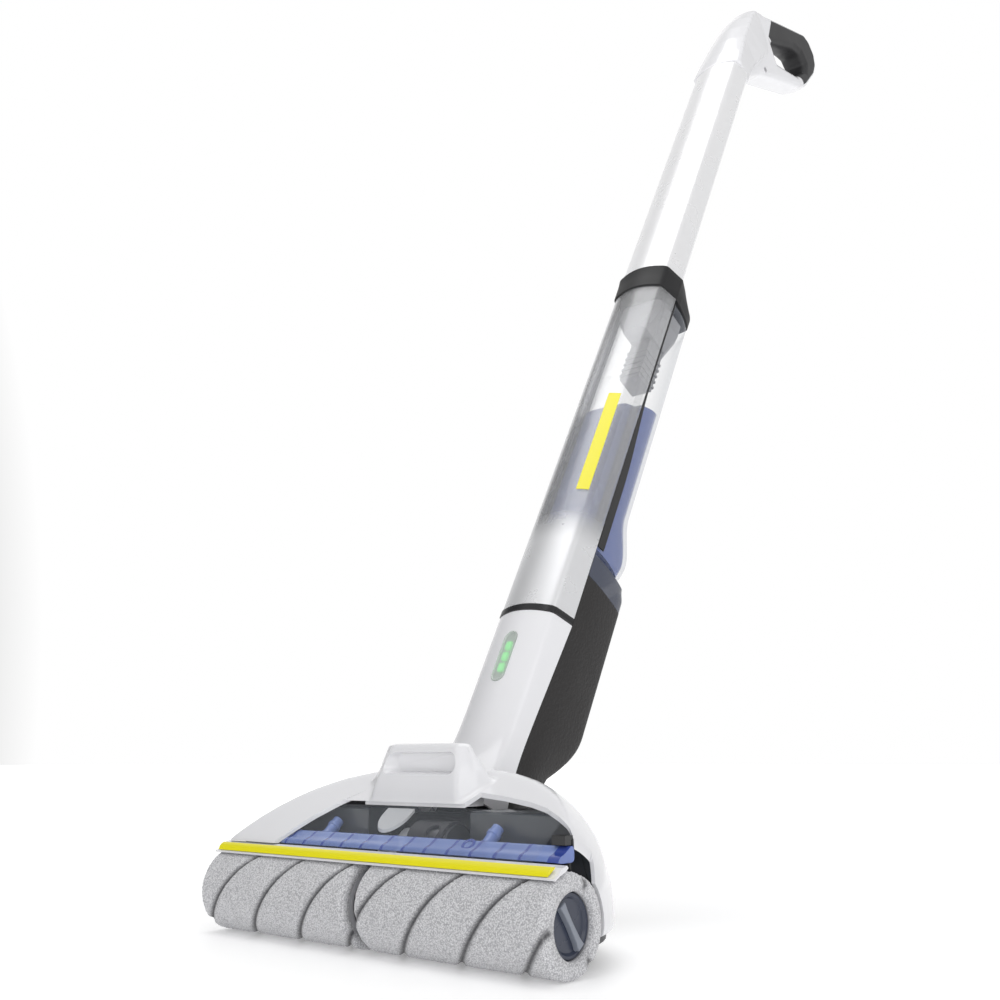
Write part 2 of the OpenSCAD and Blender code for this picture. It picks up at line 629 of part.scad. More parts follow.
module fresh_tank()
    color([0.75, 0.8, 0.95, 0.4]) at_stick() difference() {
        union() {
            tank_rear(0);
            translate([0, 0, tank_s0]) linear_extrude(tank_s1 - tank_s0) polygon([[-tank_x, shell_depth + 1],
                [-tank_x, 12], [-tank_x + 2, 3.4], [tank_x - 2, 3.4], [tank_x, 12], [tank_x, shell_depth + 1]]);
        }
        tank_rear(2);
        translate([0, 0, tank_s0 + 2]) linear_extrude(tank_s1 - tank_s0 - 4) polygon([[-tank_x + 2, shell_depth + 3],
            [-tank_x + 2, 12], [-tank_x + 4, 5.4], [tank_x - 4, 5.4], [tank_x - 2, 12], [tank_x - 2, shell_depth + 3]]);
        translate([0, cap_n, tank_s1 - 5]) cylinder(r = cap_r + gap, h = 10);
    }

module tank_insert()
    color([0.5, 0.5, 0.52]) at_stick() difference() {
        union() {
            hull() {
                translate([0, 0, tank_s1 - 2 - 2 * eps]) linear_extrude(eps) polygon(insert_outline(tank_x - 2.1));
                translate([0, 0, tank_s1 - 16]) linear_extrude(eps) polygon(insert_outline(tank_x - 2.1));
                translate([0, 0, tank_s1 - 34]) linear_extrude(eps) polygon(insert_outline(tank_x - 12));
            }
            translate([-10, cap_n - 16, tank_s1 - 82]) cube([20, 22, 50]);
            for (k = [0:4]) translate([-11, cap_n - 17, tank_s1 - 78 + 7 * k]) cube([22, 24, 2.4]);
        }
        translate([0, cap_n, tank_s1 - 30]) cylinder(r = cap_r - 2, h = 40);
    }
function insert_outline(x) = [[-x, 12], [-x + 4, 7], [x - 4, 7], [x, 12], [x, tank_depth - 16],
    [x - 7, tank_depth - 9.5], [-x + 7, tank_depth - 9.5], [-x, tank_depth - 16]];

module tank_cap()
    color([0.5, 0.5, 0.52]) at_stick() difference() {
        union() {
            translate([0, cap_n, tank_s1 - 1.8]) cylinder(r = cap_r, h = 3.8);
            translate([0, cap_n, tank_s1 - 20]) cylinder(r = cap_r - 2.4, h = 19);
        }
        translate([-9, cap_n - 9, tank_s1 + 0.5]) cube([18, 6.5, 4]);
        translate([-9, cap_n + 2.5, tank_s1 + 0.5]) cube([18, 6.5, 4]);
    }

module collar_outline(inset) polygon(concat(front_line(-0.8, shell_depth, inset - 0.8),
    [[body_w / 2 + 0.8 - inset, 40]], rev(bow(20 - inset, tank_depth - 5 - inset, 5)), [[-body_w / 2 - 0.8 + inset, 40]]));
module collar()
    color([0.08, 0.08, 0.08]) at_stick() difference() {
        union() {
            translate([0, 0, body_s1]) linear_extrude(12) collar_outline(0);
            hull() {
                translate([0, 0, body_s1 + 12 - eps]) linear_extrude(eps) collar_outline(0);
                translate([0, 0, collar_s1 - eps]) linear_extrude(eps)
                    polygon(tube_outline(-1.4, 8));
            }
        }
        translate([0, 0, body_s1 + 6]) linear_extrude(40) polygon(tube_outline(0, 0));
        translate([-8.3, tank_depth - 14, body_s1 + 3]) cube([16.6, 30, 9.6]);
    }

module tank_latch()
    color([0.14, 0.14, 0.14]) at_stick() translate([-8, tank_depth - 9.5, body_s1 + 3.3]) cube([16, 9.2, 9]);

// ---- upper tube and handle --------------------------------------------------
function tube_outline(inset, extra) = concat(front_line(0, shell_depth, inset),
    rev(bow(body_w / 2 - 7 - inset, 28 + extra - inset, 2.5)));
module upper_tube()
    color("gainsboro") at_stick() difference() {
        translate([0, 0, body_s1 + 6]) linear_extrude(tube_s1 - body_s1 - 6) polygon(tube_outline(0, 0));
        translate([0, 0, body_s1 + 5]) linear_extrude(tube_s1 - body_s1) polygon(tube_outline(1.6, 0));
    }

// side view of the handle: depth and height, before the shift for the stick's length
loop_outline = [[16, 930], [14, 960], [10, 1043], [46, 1084], [98, 1140], [113, 1156], [128, 1161], [148, 1157], [159, 1143],
    [160, 1125], [150, 1085], [137, 1064], [100, 1022], [58, 974], [33, 930]];
loop_hole = [[57, 1046], [104, 1106], [120, 1117], [134, 1115], [138, 1102], [126, 1074], [80, 1034]];
grip_cut = [[50, 1046], [46, 1076], [101.5, 1136.5], [115.5, 1151.5], [128.5, 1156], [146, 1152.4],
    [154, 1141], [155, 1126], [145.8, 1089], [142, 1079], [122, 1079], [105, 1075]];
module loop_profile() translate([0, top_s]) difference() {
    offset(r = 7) offset(delta = -7) polygon(loop_outline);
    offset(r = 3) offset(delta = -3) polygon(loop_hole);
}
module layered(edge)
    for (k = [[handle_w, edge], [handle_w - 3, edge * 0.4], [handle_w - 7, 0]])
        across(-k[0] / 2, k[0] / 2) offset(delta = -k[1]) children();
module at_switch() translate([0, switch_n, switch_s]) rotate([48, 0, 0]) children();
module head_slice(s, x, n0, n1, bulge)
    slice(s + top_s) polygon(concat(bow(x, n0, -bulge), rev(bow(x, n1, bulge))));

module handle_frame()
    color("white") at_stick() difference() {
        union() {
            layered(4) loop_profile();
            hull() {
                slice(tube_s1) polygon(tube_outline(0, 0));
                head_slice(960, 24, 1, 30, 5);
            }
            hull() {
                head_slice(960, 24, 1, 30, 5);
                head_slice(1010, 20, 6, 50, 5);
            }
            hull() {
                head_slice(1010, 20, 6, 50, 5);
                head_slice(1043, 17, 12, 60, 3);
            }
            hull() {
                head_slice(1043, 17, 12, 60, 3);
                head_slice(1072, 13, 38, 58, 1);
            }
        }
        across(-handle_w, handle_w) translate([0, top_s]) polygon(grip_cut);
        at_switch() translate([-8.3, -5.3, -5.6]) cube([16.6, 10.6, 30]);
        rod_x(handle_w / 2 - 1, handle_w, 3, 62, 990 + top_s);
    }

module handle_grip()
    color([0.15, 0.15, 0.16]) at_stick() intersection() {
        layered(4) loop_profile();
        across(-handle_w, handle_w) translate([0, top_s]) offset(delta = -0.2) polygon(grip_cut);
    }

module power_switch()
    color([0.1, 0.1, 0.1]) at_stick() at_switch() translate([-8, -5, -3.6]) cube([16, 10, 4.6]);

module handle_screw()
    color("gray") at_stick() rod_x(handle_w / 2 - 1, handle_w / 2 + 0.4, 3, 62, 990 + top_s);

chassis();
glide_pads();
tilt_bushes();
drive_arm_left();
drive_arm_right();
shaft_bearings();
drive_belt();
drive_motor();
motor_cover();
head_hose();
water_nozzle();
chassis_screws();
drive_shaft();
drive_pulley();
motor_pulley();
roller_core_left();
roller_core_right();
roller_cloth_left();
roller_cloth_right();
roller_cap_left();
roller_cap_right();
cover_shell();
lift_hood();
accent_strip();
strip_carrier();
cover_window();
dirty_tank_left();
dirty_tank_right();
scraper_bar();
scraper_blade();
duct_posts();
centre_fairing();
cover_latch();
neck_hub();
tilt_pin();
neck_front();
neck_rear();
neck_ring();
charge_window();
charge_lamps();
circuit_board();
battery_cells();
battery_holder();
charging_socket();
water_hose();
tank_receiver();
body_front();
body_stripe();
body_carrier();
fresh_tank();
tank_insert();
tank_cap();
tank_latch();
collar();
upper_tube();
handle_frame();
handle_grip();
power_switch();
handle_screw();
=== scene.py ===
"""Looks of a cordless roller floor scrubber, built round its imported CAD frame."""

import json
import math

import bmesh
import bpy
from bpy.props import FloatProperty, FloatVectorProperty, IntProperty, PointerProperty
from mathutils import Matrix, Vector, noise


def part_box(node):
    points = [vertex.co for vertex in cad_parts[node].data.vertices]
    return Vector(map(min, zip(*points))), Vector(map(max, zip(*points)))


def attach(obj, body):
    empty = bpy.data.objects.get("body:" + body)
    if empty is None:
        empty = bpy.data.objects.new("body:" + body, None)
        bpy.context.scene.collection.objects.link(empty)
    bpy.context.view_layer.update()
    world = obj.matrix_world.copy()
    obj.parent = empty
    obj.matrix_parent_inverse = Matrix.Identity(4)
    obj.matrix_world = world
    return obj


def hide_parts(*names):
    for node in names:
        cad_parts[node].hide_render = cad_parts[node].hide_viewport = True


bl_info = {
    "name": "Roller Floor Scrubber",
    "version": (1, 0, 0),
    "blender": (4, 5, 0),
    "location": "View3D > Sidebar > Scrubber",
    "description": "Builds the pieces and finishes of a roller floor scrubber",
    "category": "Object",
}

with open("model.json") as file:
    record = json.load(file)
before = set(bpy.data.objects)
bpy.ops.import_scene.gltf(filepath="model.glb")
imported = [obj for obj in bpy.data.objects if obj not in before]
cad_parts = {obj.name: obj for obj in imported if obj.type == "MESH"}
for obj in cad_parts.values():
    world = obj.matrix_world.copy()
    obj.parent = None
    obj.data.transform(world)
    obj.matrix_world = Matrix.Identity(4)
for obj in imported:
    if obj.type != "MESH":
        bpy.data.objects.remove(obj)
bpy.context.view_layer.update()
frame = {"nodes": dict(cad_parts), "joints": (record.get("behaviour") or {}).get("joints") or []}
MM = 0.001


def joint(name):
    """The frame's joint of that name."""
    return next(j for j in frame["joints"] if j["name"] == name)


ROLLER_AXIS = Vector(joint("roller_spin")["pos_m"]) / MM
TILT_AXIS = Vector(joint("stick_tilt")["pos_m"]) / MM
DEPTH_WAY = Vector(joint("tank_out")["axis"])
LEAN = math.asin(-DEPTH_WAY.z)
HALF_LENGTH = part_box("roller_cloth_right")[1][0] / MM
COVER_TOP = 112.0
COVER_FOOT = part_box("cover_shell")[0][2] / MM
COVER_HALF_WIDTH = 149.5
COVER_DEPTH = 128.0
COVER_BASE = 15.0
STRIP_Y = -9.5
STRIP_Z = 57.0


# ---- places -----------------------------------------------------------------
def on_head(x, y, z):
    """A point measured from the roller axis, as a frame point in metres."""
    return Vector((x, y + ROLLER_AXIS.y, z)) * MM


def on_stick(x, n, s, axis_depth=8.0):
    """A point at depth n behind the front creases and height s up the stick, in metres."""
    n -= axis_depth
    y = n * math.cos(LEAN) + s * math.sin(LEAN)
    z = TILT_AXIS.z - n * math.sin(LEAN) + s * math.cos(LEAN)
    return Vector((x, y + TILT_AXIS.y, z)) * MM


# ---- mesh tools -------------------------------------------------------------
def new_piece(name, verts, faces, finish, body, *stands_for):
    """A mesh piece riding on a body, with outward faces and soft shading."""
    mesh = bpy.data.meshes.new(name)
    mesh.from_pydata([tuple(v) for v in verts], [], faces)
    made = bmesh.new()
    made.from_mesh(mesh)
    bmesh.ops.recalc_face_normals(made, faces=made.faces)
    made.to_mesh(mesh)
    made.free()
    piece = bpy.data.objects.new(name, mesh)
    bpy.context.scene.collection.objects.link(piece)
    if finish:
        mesh.materials.append(finish)
    soften(mesh)
    if body:
        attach(piece, body)
    if stands_for:
        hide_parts(*stands_for)
    return piece


def soften(mesh, angle=38.0):
    """Smooth shading that keeps edges sharper than the angle."""
    mesh.shade_smooth()
    mesh.set_sharp_from_angle(angle=math.radians(angle))


def loft(rings, closed=True, caps=True, around=False):
    """Vertices and faces of a skin through rings of equal length."""
    count = len(rings[0])
    verts = [p for ring in rings for p in ring]
    faces = []
    for k in range(len(rings) if around else len(rings) - 1):
        a, b = k * count, (k + 1) % len(rings) * count
        for i in range(count if closed else count - 1):
            j = (i + 1) % count
            faces.append((a + i, a + j, b + j, b + i))
    if closed and caps and not around:
        faces.append(tuple(reversed(range(count))))
        faces.append(tuple(range(len(verts) - count, len(verts))))
    return verts, faces


def prism(outline, low, high, place):
    """A straight prism on a closed outline of (u, v), from low to high along x."""
    rings = [[place(x, u, v) for u, v in outline] for x in (low, high)]
    return loft(rings)


def modify(piece, kind, **values):
    """Adds one modifier with its values."""
    modifier = piece.modifiers.new(kind.title(), kind)
    for key, value in values.items():
        setattr(modifier, key, value)
    return modifier


def settle(piece, angle=38.0):
    """Applies the piece's modifiers to its mesh."""
    depsgraph = bpy.context.evaluated_depsgraph_get()
    mesh = bpy.data.meshes.new_from_object(piece.evaluated_get(depsgraph))
    piece.modifiers.clear()
    piece.data = mesh
    soften(mesh, angle)
    return piece


def round_edges(piece, width, segments=3, angle=40.0):
    """Rounds the piece's sharp edges by width, in millimetres."""
    modify(
        piece,
        "BEVEL",
        width=width * MM,
        segments=segments,
        limit_method="ANGLE",
        angle_limit=math.radians(angle),
        harden_normals=True,
    )


def helper(name, verts, faces):
    """A mesh used only to shape a piece."""
    return new_piece(name, verts, faces, None, None)


def combine(piece, other, operation, keep=False):
    """Cuts, joins or crosses the piece with a helper, which is then removed."""
    modify(piece, "BOOLEAN", operation=operation, object=other, solver="MANIFOLD")
    settle(piece)
    if not keep:
        bpy.data.objects.remove(other, do_unlink=True)
    return piece


def melt(piece, voxel, passes, factor=0.5):
    """Rebuilds the piece on even voxels and smooths it, so edges run round."""
    modify(piece, "REMESH", mode="VOXEL", voxel_size=voxel * MM, use_smooth_shade=True)
    modify(piece, "SMOOTH", factor=factor, iterations=passes)
    return settle(piece)


def fuse(name, parts):
    """One mesh object from several, without joining their surfaces."""
    made = bmesh.new()
    for part in parts:
        made.from_mesh(part.data)
        bpy.data.objects.remove(part, do_unlink=True)
    mesh = bpy.data.meshes.new(name)
    made.to_mesh(mesh)
    made.free()
    piece = bpy.data.objects.new(name, mesh)
    bpy.context.scene.collection.objects.link(piece)
    return piece


def bow(half, at, depth, samples=16):
    """Points of a shallow arch from -half to half."""
    points = []
    for i in range(samples + 1):
        u = 2 * i / samples - 1
        points.append((half * u, at + depth * (1 - u * u)))
    return points


def rounded(points, radius, steps=5):
    """An open line whose inner corners are replaced by small arcs."""
    out = [Vector(points[0])]
    for before, corner, after in zip(points, points[1:], points[2:]):
        corner = Vector(corner)
        back, on = Vector(before) - corner, Vector(after) - corner
        if back.angle(on) > math.radians(168):
            out.append(corner)
            continue
        start = corner + back.normalized() * min(radius, back.length * 0.48)
        end = corner + on.normalized() * min(radius, on.length * 0.48)
        for k in range(steps + 1):
            t = k / steps
            out.append(start * (1 - t) ** 2 + corner * 2 * t * (1 - t) + end * t * t)
    out.append(Vector(points[-1]))
    return out


def cut_corners(points, times=3, closed=False):
    """A line smoothed by cutting its corners again and again; open ends stay."""
    points = [Vector(p) for p in points]
    for _ in range(times):
        pairs = list(zip(points, points[1:] + (points[:1] if closed else [])))
        out = [] if closed else [points[0]]
        for a, b in pairs:
            out += [a * 0.75 + b * 0.25, a * 0.25 + b * 0.75]
        points = out if closed else out + [points[-1]]
    return points


def inset(outline, amount):
    """A closed outline moved inwards by amount, its corners kept."""
    centre_area = sum(
        a[0] * b[1] - b[0] * a[1] for a, b in zip(outline, outline[1:] + outline[:1])
    )
    turn = 1 if centre_area > 0 else -1
    out = []
    count = len(outline)
    for i, point in enumerate(outline):
        point = Vector(point)
        back = (point - Vector(outline[i - 1])).normalized()
        on = (Vector(outline[(i + 1) % count]) - point).normalized()
        normal_a = Vector((-back.y, back.x)) * turn
        normal_b = Vector((-on.y, on.x)) * turn
        mean = (normal_a + normal_b).normalized()
        out.append(tuple(point + mean * amount / max(0.5, mean.dot(normal_a))))
    return out


# ---- finishes ---------------------------------------------------------------
def node_group(name, inputs, outputs):
    """An empty shader node group with its named sockets."""
    group = bpy.data.node_groups.new(name, "ShaderNodeTree")
    for label, kind, value in inputs:
        socket = group.interface.new_socket(label, in_out="INPUT", socket_type=kind)
        socket.default_value = value
    for label, kind in outputs:
        group.interface.new_socket(label, in_out="OUTPUT", socket_type=kind)
    return group, group.nodes.new("NodeGroupInput"), group.nodes.new("NodeGroupOutput")


def grain_group():
    """Fine moulded grain: a height for a bump."""
    group, given, out = node_group(
        "moulded_grain",
        [("Scale", "NodeSocketFloat", 900.0), ("Detail", "NodeSocketFloat", 2.0)],
        [("Height", "NodeSocketFloat")],
    )
    where = group.nodes.new("ShaderNodeTexCoord")
    grain = group.nodes.new("ShaderNodeTexNoise")
    group.links.new(where.outputs["Object"], grain.inputs["Vector"])
    group.links.new(given.outputs["Scale"], grain.inputs["Scale"])
    group.links.new(given.outputs["Detail"], grain.inputs["Detail"])
    group.links.new(grain.outputs["Fac"], out.inputs["Height"])
    return group


def tone_group():
    """Slow drift between two near tones."""
    group, given, out = node_group(
        "tone_drift",
        [
            ("Tone", "NodeSocketColor", (1, 1, 1, 1)),
            ("Shade", "NodeSocketColor", (0, 0, 0, 1)),
            ("Scale", "NodeSocketFloat", 12.0),
        ],
        [("Color", "NodeSocketColor")],
    )
    where = group.nodes.new("ShaderNodeTexCoord")
    cloud = group.nodes.new("ShaderNodeTexNoise")
    cloud.inputs["Detail"].default_value = 4.0
    blend = group.nodes.new("ShaderNodeMix")
    blend.data_type = "RGBA"
    group.links.new(where.outputs["Object"], cloud.inputs["Vector"])
    group.links.new(given.outputs["Scale"], cloud.inputs["Scale"])
    group.links.new(cloud.outputs["Fac"], blend.inputs["Factor"])
    group.links.new(given.outputs["Tone"], blend.inputs["A"])
    group.links.new(given.outputs["Shade"], blend.inputs["B"])
    group.links.new(blend.outputs["Result"], out.inputs["Color"])
    return group


def sheen_group():
    """Handling marks: roughness that wanders between two limits."""
    group, given, out = node_group(
        "handling_marks",
        [
            ("Low", "NodeSocketFloat", 0.3),
            ("High", "NodeSocketFloat", 0.4),
            ("Scale", "NodeSocketFloat", 30.0),
        ],
        [("Roughness", "NodeSocketFloat")],
    )
    where = group.nodes.new("ShaderNodeTexCoord")
    marks = group.nodes.new("ShaderNodeTexNoise")
    marks.inputs["Detail"].default_value = 6.0
    spread = group.nodes.new("ShaderNodeMapRange")
    group.links.new(where.outputs["Object"], marks.inputs["Vector"])
    group.links.new(given.outputs["Scale"], marks.inputs["Scale"])
    group.links.new(marks.outputs["Fac"], spread.inputs["Value"])
    group.links.new(given.outputs["Low"], spread.inputs["To Min"])
    group.links.new(given.outputs["High"], spread.inputs["To Max"])
    group.links.new(spread.outputs["Result"], out.inputs["Roughness"])
    return group


def place_group(material, name, maker, **values):
    """A shared node group placed in a material with its own values."""
    node = material.node_tree.nodes.new("ShaderNodeGroup")
    node.node_tree = bpy.data.node_groups.get(name) or maker()
    for key, value in values.items():
        node.inputs[key].default_value = value
    return node


def moulded(name, tone, shade, rough, grain=900.0, depth=0.02, drift=12.0, **shader):
    """A moulded or turned finish: drifting tone, handling marks and a fine grain."""
    material = bpy.data.materials.new(name)
    material.use_nodes = True
    nodes, links = material.node_tree.nodes, material.node_tree.links
    surface = nodes["Principled BSDF"]
    for key, value in shader.items():
        surface.inputs[key.replace("_", " ")].default_value = value
    colour = place_group(material, "tone_drift", tone_group, Scale=drift)
    colour.inputs["Tone"].default_value = (*tone, 1)
    colour.inputs["Shade"].default_value = (*shade, 1)
    marks = place_group(
        material, "handling_marks", sheen_group, Low=rough[0], High=rough[1], Scale=35.0
    )
    texture = place_group(material, "moulded_grain", grain_group, Scale=grain)
    bump = nodes.new("ShaderNodeBump")
    bump.inputs["Strength"].default_value = 0.6
    bump.inputs["Distance"].default_value = depth * MM
    links.new(colour.outputs["Color"], surface.inputs["Base Color"])
    links.new(marks.outputs["Roughness"], surface.inputs["Roughness"])
    links.new(texture.outputs["Height"], bump.inputs["Height"])
    links.new(bump.outputs["Normal"], surface.inputs["Normal"])
    return material


def microfibre(name):
    """Speckled looped pile, with painted shade darkening it down in the cut grooves."""
    material = moulded(name, (0.62, 0.62, 0.64), (0.5, 0.5, 0.52), (0.85, 1.0), 1300.0, 0.5)
    nodes, links = material.node_tree.nodes, material.node_tree.links
    surface = nodes["Principled BSDF"]
    surface.inputs["Sheen Weight"].default_value = 0.35
    surface.inputs["Sheen Roughness"].default_value = 0.5
    where = nodes.new("ShaderNodeTexCoord")
    loops = nodes.new("ShaderNodeTexVoronoi")
    loops.inputs["Scale"].default_value = 1150.0
    links.new(where.outputs["Object"], loops.inputs["Vector"])
    ramp = nodes.new("ShaderNodeValToRGB")
    ramp.color_ramp.elements[0].position = 0.1
    ramp.color_ramp.elements[0].color = (0.80, 0.80, 0.815, 1)
    ramp.color_ramp.elements[1].position = 0.75
    ramp.color_ramp.elements[1].color = (0.38, 0.38, 0.40, 1)
    links.new(loops.outputs["Distance"], ramp.inputs["Fac"])
    # painted shade: the groove mask darkens the pile to near black down in the cut grooves
    groove = nodes.new("ShaderNodeAttribute")
    groove.attribute_name = "groove"
    dark = nodes.new("ShaderNodeMix")
    dark.data_type = "RGBA"
    dark.inputs["B"].default_value = (0.06, 0.06, 0.065, 1)
    links.new(groove.outputs["Fac"], dark.inputs["Factor"])
    links.new(ramp.outputs["Color"], dark.inputs["A"])
    links.new(dark.outputs["Result"], surface.inputs["Base Color"])
    return material


FINISHES = {}


def finish(name):
    """A named finish, made once."""
    if name not in FINISHES:
        FINISHES[name] = FINISH_MAKERS[name](name)
    return FINISHES[name]


def clear(tone, shade, alpha, rim=0.45, rough=(0.05, 0.09)):
    """A maker of a see-through plastic, denser where it is seen edge on."""

    def make(name):
        material = moulded(name, tone, shade, rough, 60.0, 0.01, 9.0, Coat_Weight=0.5)
        nodes, links = material.node_tree.nodes, material.node_tree.links
        edge = nodes.new("ShaderNodeLayerWeight")
        edge.inputs["Blend"].default_value = 0.3
        dense = nodes.new("ShaderNodeMapRange")
        dense.inputs["From Min"].default_value = 0.25
        dense.inputs["To Min"].default_value = alpha
        dense.inputs["To Max"].default_value = min(1.0, alpha + rim)
        links.new(edge.outputs["Facing"], dense.inputs["Value"])
        links.new(dense.outputs["Result"], nodes["Principled BSDF"].inputs["Alpha"])
        return material

    return make


def chosen(colour):
    """A colour as it is, or the panel's colour of that name."""
    return tuple(getattr(bpy.context.scene.scrubber_sizes, colour)) if isinstance(colour, str) else colour


def solid(tone, shade, rough, grain=900.0, depth=0.02, **shader):
    """A maker of an opaque finish."""
    return lambda name: moulded(name, chosen(tone), chosen(shade), rough, grain, depth, **shader)


def ghosted(name):
    """Silver shell that fades to show the tank behind it, but not at its left edge or its foot."""
    material = moulded(
        name, (0.78, 0.785, 0.80), (0.72, 0.725, 0.74), (0.24, 0.32), 80.0, 0.002, Metallic=0.45
    )
    nodes, links = material.node_tree.nodes, material.node_tree.links
    where = nodes.new("ShaderNodeTexCoord")
    masks = []
    for way, solid_at, clear_at in (
        (Vector((1, 0, 0)), -24 * MM, -14 * MM),
        (
            up_stick(),
            (TILT_AXIS * MM).dot(up_stick()) + 240 * MM,
            (TILT_AXIS * MM).dot(up_stick()) + 275 * MM,
        ),
    ):
        along = nodes.new("ShaderNodeVectorMath")
        along.operation = "DOT_PRODUCT"
        along.inputs[1].default_value = way
        fade = nodes.new("ShaderNodeMapRange")
        fade.interpolation_type = "SMOOTHSTEP"
        fade.inputs["From Min"].default_value = solid_at
        fade.inputs["From Max"].default_value = clear_at
        links.new(where.outputs["Object"], along.inputs[0])
        links.new(along.outputs["Value"], fade.inputs["Value"])
        masks.append(fade)
    both = nodes.new("ShaderNodeMath")
    both.operation = "MULTIPLY"
    links.new(masks[0].outputs["Result"], both.inputs[0])
    links.new(masks[1].outputs["Result"], both.inputs[1])
    alpha = nodes.new("ShaderNodeMapRange")
    alpha.inputs["To Min"].default_value = 1.0
    alpha.inputs["To Max"].default_value = 0.24
    links.new(both.outputs["Value"], alpha.inputs["Value"])
    links.new(alpha.outputs["Result"], nodes["Principled BSDF"].inputs["Alpha"])
    return material


def up_stick():
    """The way up the stick."""
    return Vector((0, math.sin(LEAN), math.cos(LEAN)))


FINISH_MAKERS = {
    "white_gloss": solid("white", "white_shade", (0.16, 0.24), 40.0, 0.02, Coat_Weight=0.4),
    "silver_shell": solid("silver", "silver_shade", (0.24, 0.32), 80.0, 0.002, Metallic=0.3),
    "ghosted_shell": ghosted,
    "black_plastic": solid(
        (0.012, 0.012, 0.013), (0.018, 0.018, 0.019), (0.42, 0.55), 700.0, 0.05, Specular_IOR_Level=0.3
    ),
    "neck_texture": solid(
        (0.016, 0.015, 0.015), (0.024, 0.022, 0.022), (0.5, 0.62), 420.0, 0.9, Specular_IOR_Level=0.35
    ),
    "black_gloss": solid((0.012, 0.012, 0.013), (0.02, 0.02, 0.022), (0.1, 0.2), 60.0),
    "dark_plastic": solid((0.05, 0.05, 0.055), (0.03, 0.03, 0.034), (0.45, 0.6), 800.0, 0.06),
    "smoky_tank": solid((0.075, 0.08, 0.088), (0.04, 0.043, 0.05), (0.12, 0.22), 60.0),
    "light_grey_plastic": solid((0.55, 0.56, 0.58), (0.48, 0.49, 0.51), (0.3, 0.4), 700.0, 0.03),
    "yellow_gloss": solid("yellow", "yellow_shade", (0.18, 0.28), 60.0),
    "soft_grip": solid(
        (0.02, 0.02, 0.021), (0.032, 0.032, 0.034), (0.4, 0.55), 1100.0, 0.08, Specular_IOR_Level=0.4
    ),
    "insert_grey": solid((0.30, 0.30, 0.31), (0.26, 0.26, 0.27), (0.4, 0.5), 500.0, 0.05),
    "bright_steel": solid((0.62, 0.62, 0.64), (0.5, 0.5, 0.52), (0.2, 0.34), 300.0, 0.02, Metallic=1.0),
    "motor_steel": solid((0.30, 0.30, 0.32), (0.22, 0.22, 0.24), (0.3, 0.45), 300.0, 0.02, Metallic=1.0),
    "bush_brass": solid((0.7, 0.52, 0.22), (0.55, 0.4, 0.16), (0.25, 0.4), 300.0, 0.02, Metallic=1.0),
    "black_rubber": solid((0.015, 0.015, 0.015), (0.025, 0.025, 0.025), (0.6, 0.8), 500.0, 0.08),
    "pad_rubber": solid((0.16, 0.16, 0.165), (0.12, 0.12, 0.125), (0.6, 0.8), 500.0, 0.08),
    "roller_plastic": solid((0.4, 0.4, 0.42), (0.34, 0.34, 0.36), (0.35, 0.5), 600.0, 0.04),
    "cap_plastic": solid((0.045, 0.055, 0.085), (0.03, 0.036, 0.06), (0.2, 0.35), 400.0, 0.04),
    "cap_rib": solid((0.26, 0.28, 0.33), (0.2, 0.22, 0.26), (0.25, 0.4), 400.0, 0.04),
    "board_green": solid((0.01, 0.12, 0.04), (0.008, 0.09, 0.03), (0.3, 0.4), 300.0, 0.03),
    "cell_wrap": solid((0.02, 0.08, 0.3), (0.015, 0.06, 0.22), (0.2, 0.3), 60.0),
    "green_lamp": solid(
        (0.12, 0.62, 0.16), (0.08, 0.5, 0.12), (0.2, 0.3), 60.0,
        Emission_Color=(0.12, 0.8, 0.16, 1), Emission_Strength=0.55,
    ),
    "clear_hose": clear((0.75, 0.8, 0.88), (0.65, 0.72, 0.82), 0.4),
    "clear_window": clear((0.6, 0.64, 0.7), (0.5, 0.55, 0.62), 0.04, 0.08),
    "clear_tank": clear((0.42, 0.45, 0.52), (0.38, 0.41, 0.48), 0.06, 0.5),
    "ghost_rail": clear((0.6, 0.62, 0.66), (0.55, 0.57, 0.6), 0.12, 0.1),
    "lamp_window": clear((0.78, 0.84, 0.80), (0.74, 0.80, 0.77), 0.45),
    "tank_water": clear((0.13, 0.18, 0.42), (0.10, 0.14, 0.36), 0.8),
    "smoky_blue": clear((0.06, 0.07, 0.11), (0.04, 0.05, 0.08), 0.8),
    "blue_clear": clear((0.32, 0.45, 0.88), (0.24, 0.35, 0.80), 0.5),
    "blue_rib": clear((0.05, 0.09, 0.42), (0.04, 0.07, 0.34), 0.85),
    "roller_fabric": microfibre,
}


# ---- cover --------------------------------------------------------------------
def dome_factor(z, top):
    """How wide the dome still is at height z, from 1 at its foot to 0 at the top."""
    rise = min(1.0, max(0.0, (z - COVER_BASE) / (top - COVER_BASE)))
    return (1 - rise**2.65) ** (1 / 3.2)


def dome_skin(samples=64, levels=36):
    """Closed skin of the cover: a round back and a flat sloping front."""
    top = COVER_TOP - 6
    rings = []
    for k in range(levels + 1):
        z = COVER_FOOT + (top - COVER_FOOT) * (1 - (1 - k / levels) ** 1.4)
        factor = dome_factor(z, COVER_TOP)
        width, depth = COVER_HALF_WIDTH * factor, COVER_DEPTH * factor
        front = STRIP_Y + max(0.0, z - STRIP_Z) / math.tan(math.radians(37.6))
        reach = min(0.98, max(0.0, (front - STRIP_Y + 2) / depth))
        first = math.asin(reach ** (1 / 0.91))
        ring = []
        for i in range(samples + 1):
            t = first + (math.pi - 2 * first) * i / samples
            c = math.cos(t)
            x = width * math.copysign(abs(c) ** 0.91, c)
            ring.append(on_head(x, STRIP_Y - 2 + depth * math.sin(t) ** 0.91, z))
        rings.append(ring)
    return loft(rings)


